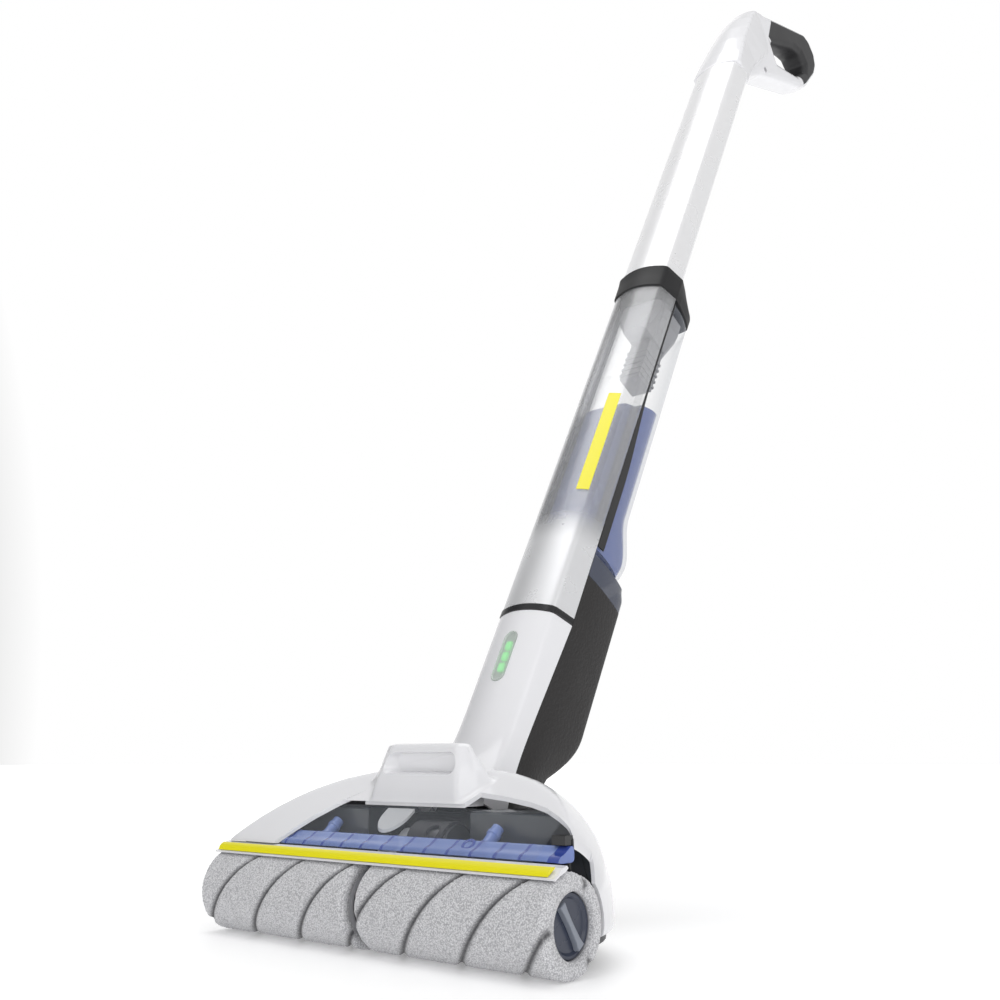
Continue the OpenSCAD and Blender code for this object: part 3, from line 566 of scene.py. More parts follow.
WINDOW = [
    (-94, -8), (-86, 5), (-78, 15), (-66, 26), (-49, 37), (-44, 27), (44, 27), (50, 35),
    (72, 32.5), (94, 29), (108, 25.5), (120, 20.5), (132, 15), (141, 9), (141, -8),
]
END_CUT = [
    (-20, 0), (12, 0), (13, 22), (19, 41), (27, 60), (26, 68), (14, 72), (-20, 50),
]


def head_prism(name, outline, low, high):
    """A vertical prism over the head, used as a cutter."""
    return helper(name, *prism(outline, low, high, lambda z, x, y: on_head(x, y, z)))


def side_prism(name, outline, low, high):
    """A prism along the rollers, on an outline of depth and height."""
    return helper(name, *prism(outline, low, high, on_head))


def circle(radius, count=48, at=(0.0, 0.0)):
    """Points round a circle."""
    return [
        (at[0] + radius * math.cos(a), at[1] + radius * math.sin(a))
        for a in (2 * math.pi * i / count for i in range(count))
    ]


def box_outline(x0, y0, x1, y1):
    """The four corners of a rectangle."""
    return [(x0, y0), (x1, y0), (x1, y1), (x0, y1)]


class SCRUBBER_OT_cover(bpy.types.Operator):
    """Builds the white cover, its lifting hood and the two dirty water tanks"""

    bl_idname = "scrubber.cover"
    bl_label = "Cover and tanks"

    def execute(self, context):
        """Builds the pieces that lift off the head."""
        sizes = context.scene.scrubber_sizes
        dome = melt(helper("dome", *dome_skin()), 1.8, sizes.cover_softness)
        for side in (-1, 1):
            self.dirty_tank(dome, side)
        room = dome.copy()
        room.data = dome.data.copy()
        context.scene.collection.objects.link(room)
        modify(room, "DISPLACE", strength=-sizes.cover_wall * MM, mid_level=0.0)
        settle(room)
        cover = melt(fuse("cover", [dome, self.hood()]), 1.25, sizes.hood_softness)
        below = box_outline(-45, 20, 45, 43)
        combine(room, head_prism("hood_room", below, 83, 130), "DIFFERENCE")
        combine(cover, room, "DIFFERENCE")
        self.recess(cover)
        notch = box_outline(-41, 41, 41, 150)
        combine(cover, head_prism("floor_cut", box_outline(-170, -30, 170, 150), -5, 18.2), "DIFFERENCE")
        combine(cover, head_prism("notch", notch, 0, 130), "DIFFERENCE")
        combine(cover, head_prism("window", WINDOW, 40, 84.5), "DIFFERENCE")
        for side in (-1, 1):
            wing = [(x, y) for x, y in WINDOW if x * side > 43.5] + [(43.6 * side, 27), (43.6 * side, -8)]
            wing.sort(key=lambda p: math.atan2(p[1] - 10, p[0] - 90 * side))
            combine(cover, head_prism("window_wing", wing, 80, 125), "DIFFERENCE")
        combine(cover, head_prism("front", box_outline(-170, -40, 170, 8), 0, 57.6), "DIFFERENCE")
        room = [(y, z + 27) for y, z in circle(28.5, 96)]
        combine(cover, side_prism("room", room, -170, 170), "DIFFERENCE")
        combine(cover, side_prism("end", END_CUT, HALF_LENGTH - 8, 170), "DIFFERENCE")
        cover.data.materials.clear()
        cover.data.materials.append(finish("white_gloss"))
        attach(cover, "cover_unit")
        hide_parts("cover_shell", "lift_hood")
        return {"FINISHED"}

    def dirty_tank(self, dome, side):
        """One dirty water tank, a little inside the cover."""
        tank = dome.copy()
        tank.data = dome.data.copy()
        tank.name = "dirty_tank_right_case" if side > 0 else "dirty_tank_left_case"
        bpy.context.scene.collection.objects.link(tank)
        modify(tank, "DISPLACE", strength=-3.3 * MM, mid_level=0.0)
        settle(tank)
        corners = box_outline(side * 45, 31, side * 150, 140)
        room = head_prism("tank_room", corners, 19.2, 80.5)
        combine(tank, room, "INTERSECT")
        cut = [(-30, 32.0), (140, 163.0), (140, 260), (-30, 260)]
        combine(tank, side_prism("tank_slope", cut, -170, 170), "DIFFERENCE")
        tank.data.materials.clear()
        tank.data.materials.append(finish("smoky_tank"))
        round_edges(tank, 1.0, 2, 50)
        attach(tank, "cover_unit")
        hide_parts("dirty_tank_right" if side > 0 else "dirty_tank_left")

    def hood(self):
        """The hood that the cover is lifted by, spreading into the dome at its sides."""
        rings = []
        for k in range(9):
            rise = k / 8
            z = 84.0 + 37.0 * rise
            half = 43.5 - 8.0 * rise**1.3
            front = 25.6 + 10.5 * rise**1.5
            spread_out = 24.0 * (1 - rise) ** 1.2
            rings.append([
                on_head(x, y, z)
                for x, y in (
                    (-half - spread_out, 43), (-half - spread_out * 0.3, 38), (-half, front + 6),
                    (-half + 6, front),
                    (half - 6, front), (half, front + 6), (half + spread_out * 0.3, 38),
                    (half + spread_out, 43),
                )
            ])
        return helper("hood", *loft(rings))

    def recess(self, cover):
        """The finger recess in the hood's face."""
        rings = [
            [on_head(x * grow, y, 109 + (z - 109) * grow) for x, z in rounded_box(29, 102.5, 115.5, 5)]
            for y, grow in ((22, 1.2), (31, 1.1), (34, 1.0), (38.2, 0.93), (39, 0.88))
        ]
        combine(cover, helper("recess", *loft(rings)), "DIFFERENCE")


def rounded_box(half, low, high, radius, steps=6):
    """A rectangle with round corners, as (x, z)."""
    out = []
    for cx, cz, start in (
        (half - radius, high - radius, 0), (-half + radius, high - radius, 90),
        (-half + radius, low + radius, 180), (half - radius, low + radius, 270),
    ):
        for k in range(steps + 1):
            a = math.radians(start + 90 * k / steps)
            out.append((cx + radius * math.cos(a), cz + radius * math.sin(a)))
    return out


# ---- rollers --------------------------------------------------------------------
class SCRUBBER_OT_rollers(bpy.types.Operator):
    """Builds the two pile rollers and their end caps"""

    bl_idname = "scrubber.rollers"
    bl_label = "Rollers"

    def execute(self, context):
        """Builds both rollers."""
        for side in (-1, 1):
            self.cloth(context.scene.scrubber_sizes, side)
            self.cap(side)
        return {"FINISHED"}

    def cloth(self, sizes, side):
        """Looped pile with spiral grooves cut in it."""
        inner, outer = 4.6, HALF_LENGTH
        radius = ROLLER_AXIS.z
        profile = [(inner, 20.2), (inner, 24.0), (inner + 0.8, 25.8), (inner + 2.5, 26.8)]
        steps = 190
        span = outer - inner - 5.0
        profile += [(inner + 2.5 + span * k / steps, radius) for k in range(1, steps)]
        profile += [
            (outer - 2.5, 26.8), (outer - 0.8, 25.8), (outer, 24.0), (outer, 17.3), (outer - 2.8, 17.3)
        ]
        count = 216
        rings, grooves = [], []
        for x, r in profile:
            ring = []
            for i in range(count):
                angle = 2 * math.pi * i / count
                turn = (side * x + sizes.groove_pitch * 3 * angle / (2 * math.pi)) / sizes.groove_pitch
                off = abs(turn - round(turn)) * sizes.groove_pitch * 0.78
                groove = math.exp(-((off / sizes.groove_width) ** 2)) if r > 23 else 0.0
                spot = Vector((side * x, r * math.sin(angle), r * math.cos(angle)))
                pile = 0.0
                if r > 23:
                    pile = -0.55 + 0.5 * noise.noise(spot * 1.1) + 0.3 * noise.noise(spot * 2.6)
                here = r + min(0.0, pile) - 1.9 * groove
                grooves.append(groove)
                ring.append(on_head(side * x, -here * math.sin(angle), radius + here * math.cos(angle)))
            rings.append(ring)
        verts, faces = loft(rings, around=True)
        name = "roller_pile_right" if side > 0 else "roller_pile_left"
        body = "roller_right" if side > 0 else "roller_left"
        node = "roller_cloth_right" if side > 0 else "roller_cloth_left"
        pile = new_piece(name, verts, faces, finish("roller_fabric"), body, node)
        pile.data.set_sharp_from_angle(angle=math.radians(180))
        # the groove mask also goes to the finish, which paints shade down in the grooves
        mark = pile.data.attributes.new("groove", "FLOAT", "POINT")
        mark.data.foreach_set("value", grooves)

    def cap(self, side):
        """Dished end cap with a pull rib across it."""
        face = HALF_LENGTH - 3.0
        profile = [
            (face - 9, 16.6), (face - 0.6, 16.6), (face, 16.0), (face, 14.6), (face - 1.4, 13.2),
            (face - 1.4, 0.2)
        ]
        rings = [
            [on_head(side * x, v, ROLLER_AXIS.z + u) for u, v in circle(r, 72)] for x, r in profile
        ]
        name = "right" if side > 0 else "left"
        cap = new_piece(
            "roller_end_" + name, *loft(rings), finish("cap_plastic"), "roller_" + name,
            "roller_cap_" + name
        )
        tilt = math.radians(-55 + 180)
        rings = []
        for along, half, high in (
            (-13.8, 3.4, 1.9), (-9, 2.4, 1.9), (0, 1.9, 1.9), (9, 2.2, 1.9), (13.4, 2.9, 1.9)
        ):
            ring = []
            for across, out in ((-half, -1.5), (half, -1.5), (half * 0.8, high), (-half * 0.8, high)):
                y = along * math.cos(tilt) - across * math.sin(tilt)
                z = along * math.sin(tilt) + across * math.cos(tilt)
                ring.append(on_head(side * (face + out), y, ROLLER_AXIS.z + z))
            rings.append(ring)
        rib = new_piece("roller_rib_" + name, *loft(rings), finish("cap_rib"), "roller_" + name)
        round_edges(rib, 0.5, 3)


# ---- scraper --------------------------------------------------------------------
class SCRUBBER_OT_scraper(bpy.types.Operator):
    """Builds the clear blue scraper bar with its ribs, boss and posts"""

    bl_idname = "scrubber.scraper"
    bl_label = "Scraper bar"

    def execute(self, context):
        """Builds the bar along the rollers."""
        step = context.scene.scrubber_sizes.rib_step
        profile = rounded(
            [(-3.4, 58.0), (-1.5, 60.6), (3, 62.2), (7.4, 65.4), (9.8, 65.6), (10.4, 63), (10.4, 58.6),
                (8.5, 57.4), (-1, 57.4), (-3.4, 58.0)],
            1.6,
        )
        first, last = -129.0, HALF_LENGTH - 7.0
        rings = [
            [on_head(first + (last - first) * k / 60, p.x, p.y) for p in profile[:-1]] for k in range(61)
        ]
        bar = new_piece("scraper_tube", *loft(rings), finish("blue_clear"), "cover_unit", "scraper_bar")
        x = first + 6
        ribs = []
        while x < last - 10:
            ribs.append(self.band(profile, x, 1.0, 1.045))
            x += step
        ribs.append(self.band(profile, last - 4, 3.6, 1.06))
        ribs.append(self.band(profile, first + 0.5, 2.0, 1.05))
        ribs.append(self.boss(HALF_LENGTH - 78.0))
        rib = fuse("scraper_ribs", ribs)
        rib.data.materials.append(finish("blue_rib"))
        soften(rib.data)
        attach(rib, "cover_unit")
        self.posts()
        self.strip()
        return {"FINISHED"}

    def strip(self):
        """The yellow strip along the cover's white lip."""
        rings = []
        first, last = 3 - HALF_LENGTH, HALF_LENGTH - 3
        for x in spread(first, last, 40):
            ring = []
            for reach, turn in (
                (29.4, 32.0), (31.0, 29.0), (31.7, 25.5), (31.9, 21.5), (31.3, 20.9), (29.0, 30.5)
            ):
                a = math.radians(turn)
                ring.append(on_head(
                    x - (2.4 if x == last else 0) * (turn - 20) / 11,
                    -reach * math.sin(a),
                    ROLLER_AXIS.z + reach * math.cos(a),
                ))
            rings.append(ring)
        strip = new_piece(
            "yellow_strip", *loft(rings), finish("yellow_gloss"), "cover_unit", "accent_strip"
        )

    def band(self, profile, x, half, grow):
        """A raised band round the bar."""
        middle = Vector((4.6, 61.0))
        line = [middle + (p - middle) * grow for p in profile[:-1]]
        inner = [middle + (p - middle) * 0.97 for p in profile[:-1]]
        rings = [
            [on_head(at, p.x, p.y) for p in ring]
            for at, ring in ((x - half, inner), (x - half, line), (x + half, line), (x + half, inner))
        ]
        return helper("band", *loft(rings))

    def boss(self, x):
        """A ring-shaped boss facing out of the bar."""
        lean = math.radians(37.6)
        rings = []
        for r, lift in ((4.6, -2.0), (4.6, 0.5), (4.2, 0.9), (3.0, 0.9), (2.6, 0.4), (2.6, -2.0)):
            ring = []
            for u, v in circle(r, 32):
                y = 5.0 + v * math.cos(lean) - lift * math.sin(lean)
                z = 63.2 + v * math.sin(lean) + lift * math.cos(lean)
                ring.append(on_head(x + u, y, z))
            rings.append(ring)
        return helper("boss", *loft(rings, around=True))

    def posts(self):
        """The two clear posts that feed the dirty water tanks."""
        rings = []
        parts = []
        turn = math.radians(48)
        for side in (-1, 1):
            rings = []
            for r, h in (
                (3.0, 0.3), (4.4, 0.3), (4.4, 2.0), (3.7, 2.6), (3.7, 8.6), (4.4, 9.2), (4.4, 11),
                (3.7, 11.6), (3.7, 15.4), (3.0, 15.8)
            ):
                ring = []
                for u, v in circle(r, 32):
                    y = 16 + v * math.cos(turn) + h * math.sin(turn)
                    z = 61 - v * math.sin(turn) + h * math.cos(turn)
                    ring.append(on_head(side * 70 + u, y, z))
                rings.append(ring)
            parts.append(helper("post", *loft(rings, around=True)))
        post = fuse("scraper_posts", parts)
        post.data.materials.append(finish("blue_clear"))
        soften(post.data)
        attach(post, "cover_unit")
        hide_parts("duct_posts")


# ---- stick ----------------------------------------------------------------------
def side_at(sizes, n):
    """Half width of the stick at depth n."""
    return sizes.front_width / 2 + (
        (sizes.stick_width - sizes.front_width) / 2 * min(1, n / sizes.shell_depth)
    )


def front_line(sizes, crease, back, shrink=0.0):
    """The stick's front from its left side over the bowed face to its right side."""
    edge = side_at(sizes, back - crease if back > crease else back) - shrink
    half = sizes.front_width / 2 - shrink
    face = [(x, n) for x, n in bow(half, crease + shrink, -sizes.front_bow, 20)]
    corner = sizes.crease_radius
    line = [(-edge, back)] + face + [(edge, back)]
    out = [Vector(line[0])]
    for sign in (-1, 1):
        point = Vector((sign * half, crease + shrink))
        rear = Vector((sign * edge, back))
        inner = Vector((
            sign * (half - corner),
            crease + shrink - sizes.front_bow * (1 - ((half - corner) / half) ** 2),
        ))
        start = point + (rear - point).normalized() * corner
        arc = [
            start * (1 - t) ** 2 + point * 2 * t * (1 - t) + inner * t * t
            for t in (0, 0.2, 0.4, 0.6, 0.8, 1.0)
        ]
        if sign < 0:
            out += arc
            out += [Vector(p) for p in face if abs(p[0]) < half - corner - 0.5]
        else:
            out += list(reversed(arc))
    out.append(Vector(line[-1]))
    return out


def rear_line(sizes, front, back, shrink=0.0):
    """The stick's round back, from its right side to its left side."""
    radius = min(12.0, (back - front) / 2)
    half = sizes.stick_width / 2 - shrink
    knee = front + (back - front) * 0.35
    edge = min(half, side_at(sizes, front) - shrink)
    arch = [(x, n) for x, n in reversed(bow(half - 4, back - radius - shrink, radius, 14))]
    line = [(edge, front), (half, knee)] + arch + [(-half, knee), (-edge, front)]
    return cut_corners(line)


def stick_loft(levels, line_at, closed, caps=True):
    """A loft up the stick whose outline line_at(s) gives for each height."""
    rings = [[on_stick(p.x, p.y, s) for p in line_at(s)] for s in levels]
    return loft(rings, closed, caps)


def walled(line_at, wall):
    """A closed outline for each height: a skin line and the same line a wall further in."""
    return lambda s: list(line_at(s, 0.0)) + list(reversed(line_at(s, wall)))


def spread(low, high, count):
    """Even steps from low to high."""
    return [low + (high - low) * k / count for k in range(count + 1)]


def ease(t):
    """Smooth step from 0 to 1."""
    t = min(1.0, max(0.0, t))
    return t * t * (3 - 2 * t)


NECK_TOP = 176.0
NECK_BLACK_TOP = 222.0
NECK_BACK = 82.0


def neck_split(s):
    """Depth of the joint between the white and the black half of the neck."""
    return 18.2 - 0.068 * max(0.0, 175 - s)


def neck_front_depth(s):
    """How far the neck's creases lie forward as it sweeps into the head."""
    return -9.5 * (max(0.0, 105 - s) / 83) ** 2.2


def neck_flare(s):
    """How much wider the neck grows at each side towards its foot."""
    return 6.0 * (max(0.0, 80 - s) / 58) ** 2.4


def neck_rear_depth(s):
    """Depth of the neck's back, which curves in towards the hub."""
    if s > 115:
        return NECK_BACK
    if s > 70:
        return 58 + (NECK_BACK - 58) * math.sin(math.radians(90 * (s - 70) / 45))
    return 46 + 12 * (s - 22) / 48


class SCRUBBER_OT_neck(bpy.types.Operator):
    """Builds the white front and black back of the neck and its charge window"""

    bl_idname = "scrubber.neck"
    bl_label = "Neck"

    def execute(self, context):
        """Builds the neck up to the black ring."""
        sizes = context.scene.scrubber_sizes
        skin = walled(lambda s, wall: self.front(sizes, s, wall), 2.0)
        verts, faces = stick_loft(spread(22.0, NECK_TOP, 60), skin, True)
        front = new_piece("neck_white", verts, faces, finish("white_gloss"), "stick", "neck_front")
        self.cut_window(front)
        skin = walled(lambda s, wall: self.rear(sizes, s, wall), 2.0)
        levels = spread(22.0, NECK_BLACK_TOP - 1.5, 60) + [NECK_BLACK_TOP - 0.6, NECK_BLACK_TOP]
        verts, faces = stick_loft(levels, skin, True)
        rear = new_piece("neck_black", verts, faces, finish("neck_texture"), "stick", "neck_rear")
        levels = spread(NECK_BLACK_TOP + 0.1, 239.0, 12) + [240.6, 241.6, 242.0]
        verts, faces = stick_loft(levels, skin, True)
        throat = new_piece("neck_smoky", verts, faces, finish("smoky_blue"), "stick", "neck_rear")
        self.window(sizes)
        return {"FINISHED"}

    def front(self, sizes, s, wall):
        """The white half's outline, bowed forward and spreading towards the foot."""
        return front_line(sizes, neck_front_depth(s), neck_split(s), wall - neck_flare(s))

    def rear(self, sizes, s, wall):
        """The black half's outline, drawn in a little at its top."""
        back = neck_rear_depth(s) - 4 * ease((s - 232) / 10)
        return rear_line(sizes, neck_split(s) + 0.2, back, wall)

    def cut_window(self, piece):
        """Opens the neck for the charge window."""
        ring = stadium(6.0, 21.0, 24)
        rings = [[on_stick(x, n, 137 + v) for x, v in ring] for n in (-30, 9)]
        combine(piece, helper("lamp_cut", *loft(rings)), "DIFFERENCE")

    def window(self, sizes):
        """The long round-ended window with its raised rim."""
        rings = []
        for half_w, half_l, lift in (
            (5.85, 20.85, -2.2), (5.85, 20.85, 0.5), (5.2, 20.2, 1.0), (4.2, 19.2, 0.4), (3.2, 18.2, 0.2)
        ):
            ring = []
            for x, v in stadium(half_w, half_l, 24):
                face = -sizes.front_bow * (1 - (x / (sizes.front_width / 2)) ** 2)
                ring.append(on_stick(x, face - lift, 137 + v))
            rings.append(ring)
        pane = new_piece("charge_pane", *loft(rings), finish("lamp_window"), "stick", "charge_window")
        parts = []
        for k in (-1, 0, 1):
            rings = []
            for n, grow in ((-6.9, 0.86), (-6.6, 1.0), (-5.0, 1.0)):
                rings.append([
                    on_stick(x * grow, n, 137 + k * 9 + v * grow)
                    for x, v in rounded_box(2.6, -3.4, 3.4, 1.0, 4)
                ])
            parts.append(helper("lamp", *loft(rings)))
        lamp = fuse("charge_bars", parts)
        lamp.data.materials.append(finish("green_lamp"))
        soften(lamp.data)
        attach(lamp, "stick")
        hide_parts("charge_lamps")


def stadium(half_width, half_length, count):
    """A long outline with round ends, as (across, along)."""
    out = []
    for end in (1, -1):
        for k in range(count + 1):
            a = math.radians(180 * k / count)
            out.append((
                end * half_width * math.cos(a),
                end * (half_length - half_width + half_width * math.sin(a)),
            ))
    return out


class SCRUBBER_OT_body(bpy.types.Operator):
    """Builds the silver body, the ring, the collar and the upper tube"""

    bl_idname = "scrubber.body"
    bl_label = "Body and tube"

    def execute(self, context):
        """Builds the long shells of the stick."""
        sizes = context.scene.scrubber_sizes
        skin = walled(lambda s, wall: front_line(sizes, 0.0, sizes.shell_depth, wall), 1.6)
        verts, faces = stick_loft(spread(182.0, 532.0, 40), skin, True)
        shell = new_piece("body_shell", verts, faces, finish("ghosted_shell"), "stick", "body_front")
        verts, faces = stick_loft(
            spread(538.0, 905.0, 40), lambda s: self.tube_line(sizes, 0.0, 28.0), True, False
        )
        tube = new_piece("tube_shell", verts, faces, finish("silver_shell"), "stick", "upper_tube")
        modify(tube, "SOLIDIFY", thickness=1.4 * MM, offset=-1.0)
        settle(tube)
        self.collar(sizes)
        self.ring(sizes)
        return {"FINISHED"}

    def tube_line(self, sizes, grow, back):
        """The closed outline of the upper tube."""
        front = front_line(sizes, -grow, sizes.shell_depth, -grow)
        rear = [(x, n) for x, n in reversed(bow(sizes.stick_width / 2 - 7 + grow, back + grow, 2.5, 5))]
        side = [(front[-1].x, front[-1].y)] + rear + [(front[0].x, front[0].y)]
        return front + cut_corners(side)[1:-1]

    def collar(self, sizes):
        """The black collar between body and tube."""
        rings = []
        for s, grow, back in (
            (532.0, 0.2, 54), (532.8, 0.8, 55), (543.5, 0.9, 55), (545, 0.9, 54.4), (551, 1.0, 46),
            (557.2, 1.3, 37), (558.0, 0.9, 35.6), (558.0, 0.1, 29)
        ):
            rings.append([on_stick(p.x, p.y, s) for p in self.tube_line(sizes, grow, back)])
        collar = new_piece("collar_band", *loft(rings), finish("black_plastic"), "stick", "collar")
        reach = TANK_BACK
        room = prism(box_outline(reach - 14.5, 534.5, reach + 20, 545.6), -8.6, 8.6, on_stick)
        combine(collar, helper("catch_room", *room), "DIFFERENCE")

    def ring(self, sizes):
        """The thin black ring at the foot of the body."""
        rings = []
        for s, grow in (
            (176.0, -1.4), (176.0, 0.0), (176.5, 0.3), (181.5, 0.3), (182.0, 0.0), (182.0, -1.4)
        ):
            rings.append(
                [on_stick(p.x, p.y, s) for p in front_line(sizes, -grow, sizes.shell_depth - 0.2, -grow)]
            )
        ring = new_piece(
            "neck_band", *loft(rings, False, around=True), finish("black_gloss"), "stick", "neck_ring"
        )


# ---- fresh water tank -----------------------------------------------------------
TANK_BACK = 61.0
TANK_LEVELS = ((246.0, 10.0), (262.0, 13.0), (300.0, 0.0), (528.0, 0.0))


def tank_back(s):
    """Depth of the tank's back at height s, fuller near its foot."""
    for (low, a), (high, b) in zip(TANK_LEVELS, TANK_LEVELS[1:]):
        if s <= high:
            return TANK_BACK + a + (b - a) * ease((s - low) / (high - low))
    return TANK_BACK


class SCRUBBER_OT_tank(bpy.types.Operator):
    """Builds the clear fresh water tank and the water in it"""

    bl_idname = "scrubber.tank"
    bl_label = "Fresh water tank"

    def execute(self, context):
        """Builds the clear walls and the water."""
        sizes = context.scene.scrubber_sizes
        levels = [246.0, 246.6, 248.0] + spread(250.0, 524.0, 60) + [526.0, 527.4, 528.0]
        rings = [[on_stick(p.x, p.y, s) for p in self.line(sizes, s, 0.0)] for s in levels]
        tank = new_piece("tank_clear", *loft(rings), finish("clear_tank"), "tank", "fresh_tank")
        levels = spread(248.6, 420.0, 50)
        rings = [[on_stick(p.x, p.y, s) for p in self.line(sizes, s, 2.3)] for s in levels]
        water = new_piece("tank_water", *loft(rings), finish("tank_water"), "tank")
        top = sizes.water_level
        verts, faces = prism(
            box_outline(0, 0, 400, 400), -60, 60, lambda x, y, z: Vector((x, y, z + top)) * MM
        )
        combine(water, helper("above_water", verts, faces), "DIFFERENCE")
        self.seams(sizes)
        return {"FINISHED"}

    def seams(self, sizes):
        """The dark line on each side where the tank goes in behind the shell, wider lower down."""
        parts = []
        for side in (-1, 1):
            rings = []
            for s in spread(250.0, 526.0, 46):
                wide = 1.4 + 6.5 * ease((425 - s) / 110)
                near, far = 18.7, 18.7 + wide
                ring = []
                for n, lift in ((near, 0.25), (far, 0.25), (far, -0.8), (near, -0.8)):
                    knee = 18.8 + (tank_back(s) - 18.8) * 0.35
                    edge = side_at(sizes, 18.8)
                    lean = edge + (sizes.stick_width / 2 - edge) * min(1.0, (n - 18.8) / (knee - 18.8))
                    ring.append(on_stick(side * (lean + lift), n, s))
                rings.append(ring)
            parts.append(helper("seam", *loft(rings)))
        seam = fuse("tank_seams", parts)
        seam.data.materials.append(finish("black_gloss"))
        soften(seam.data)
        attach(seam, "tank")

    def line(self, sizes, s, shrink):
        """The tank's closed outline: a narrow front between the rails and a round back."""
        draw_in = 2.2 * (1 - ease((s - 246) / 3)) + 2.2 * ease((s - 525) / 3)
        grow = shrink + draw_in
        half = 24.0 - grow
        front = [
            (-half, 18.8), (-half, 12), (-half + 2, 3.6 + grow), (half - 2, 3.6 + grow), (half, 12),
            (half, 18.8)
        ]
        rear = rear_line(sizes, 18.8 + grow * 0.4, tank_back(s), grow)
        return cut_corners(front, 2) + rear


# ---- handle ---------------------------------------------------------------------
LOOP = [
    (16, 930), (14, 960), (10, 1043), (28, 1063.5), (46, 1084), (98, 1140), (113, 1156), (128, 1161),
    (148, 1157), (159, 1143), (160, 1125), (150, 1085), (137, 1064), (100, 1022), (58, 974), (33, 930),
]
LOOP_HOLE = [(57, 1046), (104, 1106), (120, 1117), (134, 1115), (138, 1102), (126, 1074), (80, 1034)]
GRIP = [
    (50, 1046), (46, 1076), (101.5, 1136.5), (115.5, 1151.5), (128.5, 1156), (146, 1152.4),
    (154, 1141), (155, 1126), (145.8, 1089), (142, 1079), (122, 1079), (105, 1075),
]


class SCRUBBER_OT_handle(bpy.types.Operator):
    """Builds the white looped handle and its dark soft grip"""

    bl_idname = "scrubber.handle"
    bl_label = "Handle"

    def execute(self, context):
        """Melts the loop and the head of the stick into one form, then splits off the grip."""
        sizes = context.scene.scrubber_sizes
        half = sizes.handle_width / 2
        parts = []
        for share, edge in ((1.0, 6.0), (0.94, 3.4), (0.84, 1.6), (0.7, 0.5), (0.5, 0.0)):
            layer = helper("layer", *prism(inset(LOOP, edge), -half * share, half * share, on_stick))
            hole = helper("hole", *prism(inset(LOOP_HOLE, 1.0 - edge), -40, 40, on_stick))
            parts.append(combine(layer, hole, "DIFFERENCE"))
        parts.append(self.head())
        form = melt(fuse("handle_form", parts), 1.5, 10)
        grip = form.copy()
        grip.data = form.data.copy()
        context.scene.collection.objects.link(grip)
        combine(form, helper("grip_room", *prism(GRIP, -40, 40, on_stick)), "DIFFERENCE")
        combine(grip, helper("grip_form", *prism(inset(GRIP, 0.25), -40, 40, on_stick)), "INTERSECT")
        for piece, name, kind, nodes in (
            (form, "handle_white", "white_gloss", ("handle_frame",)),
            (grip, "handle_soft", "soft_grip", ("handle_grip",)),
        ):
            piece.name = name
            piece.data.materials.clear()
            piece.data.materials.append(finish(kind))
            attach(piece, "stick")
            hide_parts(*nodes)
        pocket = helper("pocket", *prism(self.switch_outline(5.3, -4.6, 12.0), -8.3, 8.3, on_stick))
        combine(form, pocket, "DIFFERENCE")
        return {"FINISHED"}

    def switch_outline(self, half, low, high):
        """A box square to the slanted face under the power button, as (depth, height)."""
        turn = math.radians(48)
        out = []
        for along, up in ((-half, low), (half, low), (half, high), (-half, high)):
            out.append((
                28 + along * math.cos(turn) - up * math.sin(turn),
                1063.5 + along * math.sin(turn) + up * math.cos(turn),
            ))
        return out

    def head(self):
        """The swelling at the top of the tube that carries the loop."""
        levels = (
            (905.4, 29.8, 0.2, 28.5, 7.0, 2.4), (930, 28.0, 0.4, 30.5, 6.6, 3.5),
            (960, 24.5, 1.2, 36, 5.6, 4.5),
            (990, 22.0, 3.5, 46, 5.2, 5.0), (1015, 19.5, 6.5, 54, 4.6, 5.0), (1043, 16.0, 12, 60, 3.0, 3.0),
            (1058, 14.0, 24, 60, 2.0, 2.0), (1070, 12.0, 36, 58, 1.0, 1.0),
        )
        rings = []
        for s, half, front, back, bulge, rear in levels:
            line = bow(half, front, -bulge, 14) + list(reversed(bow(half * 0.86, back, rear, 14)))
            rings.append([on_stick(x, n, s) for x, n in line])
        return helper("head", *loft(rings))


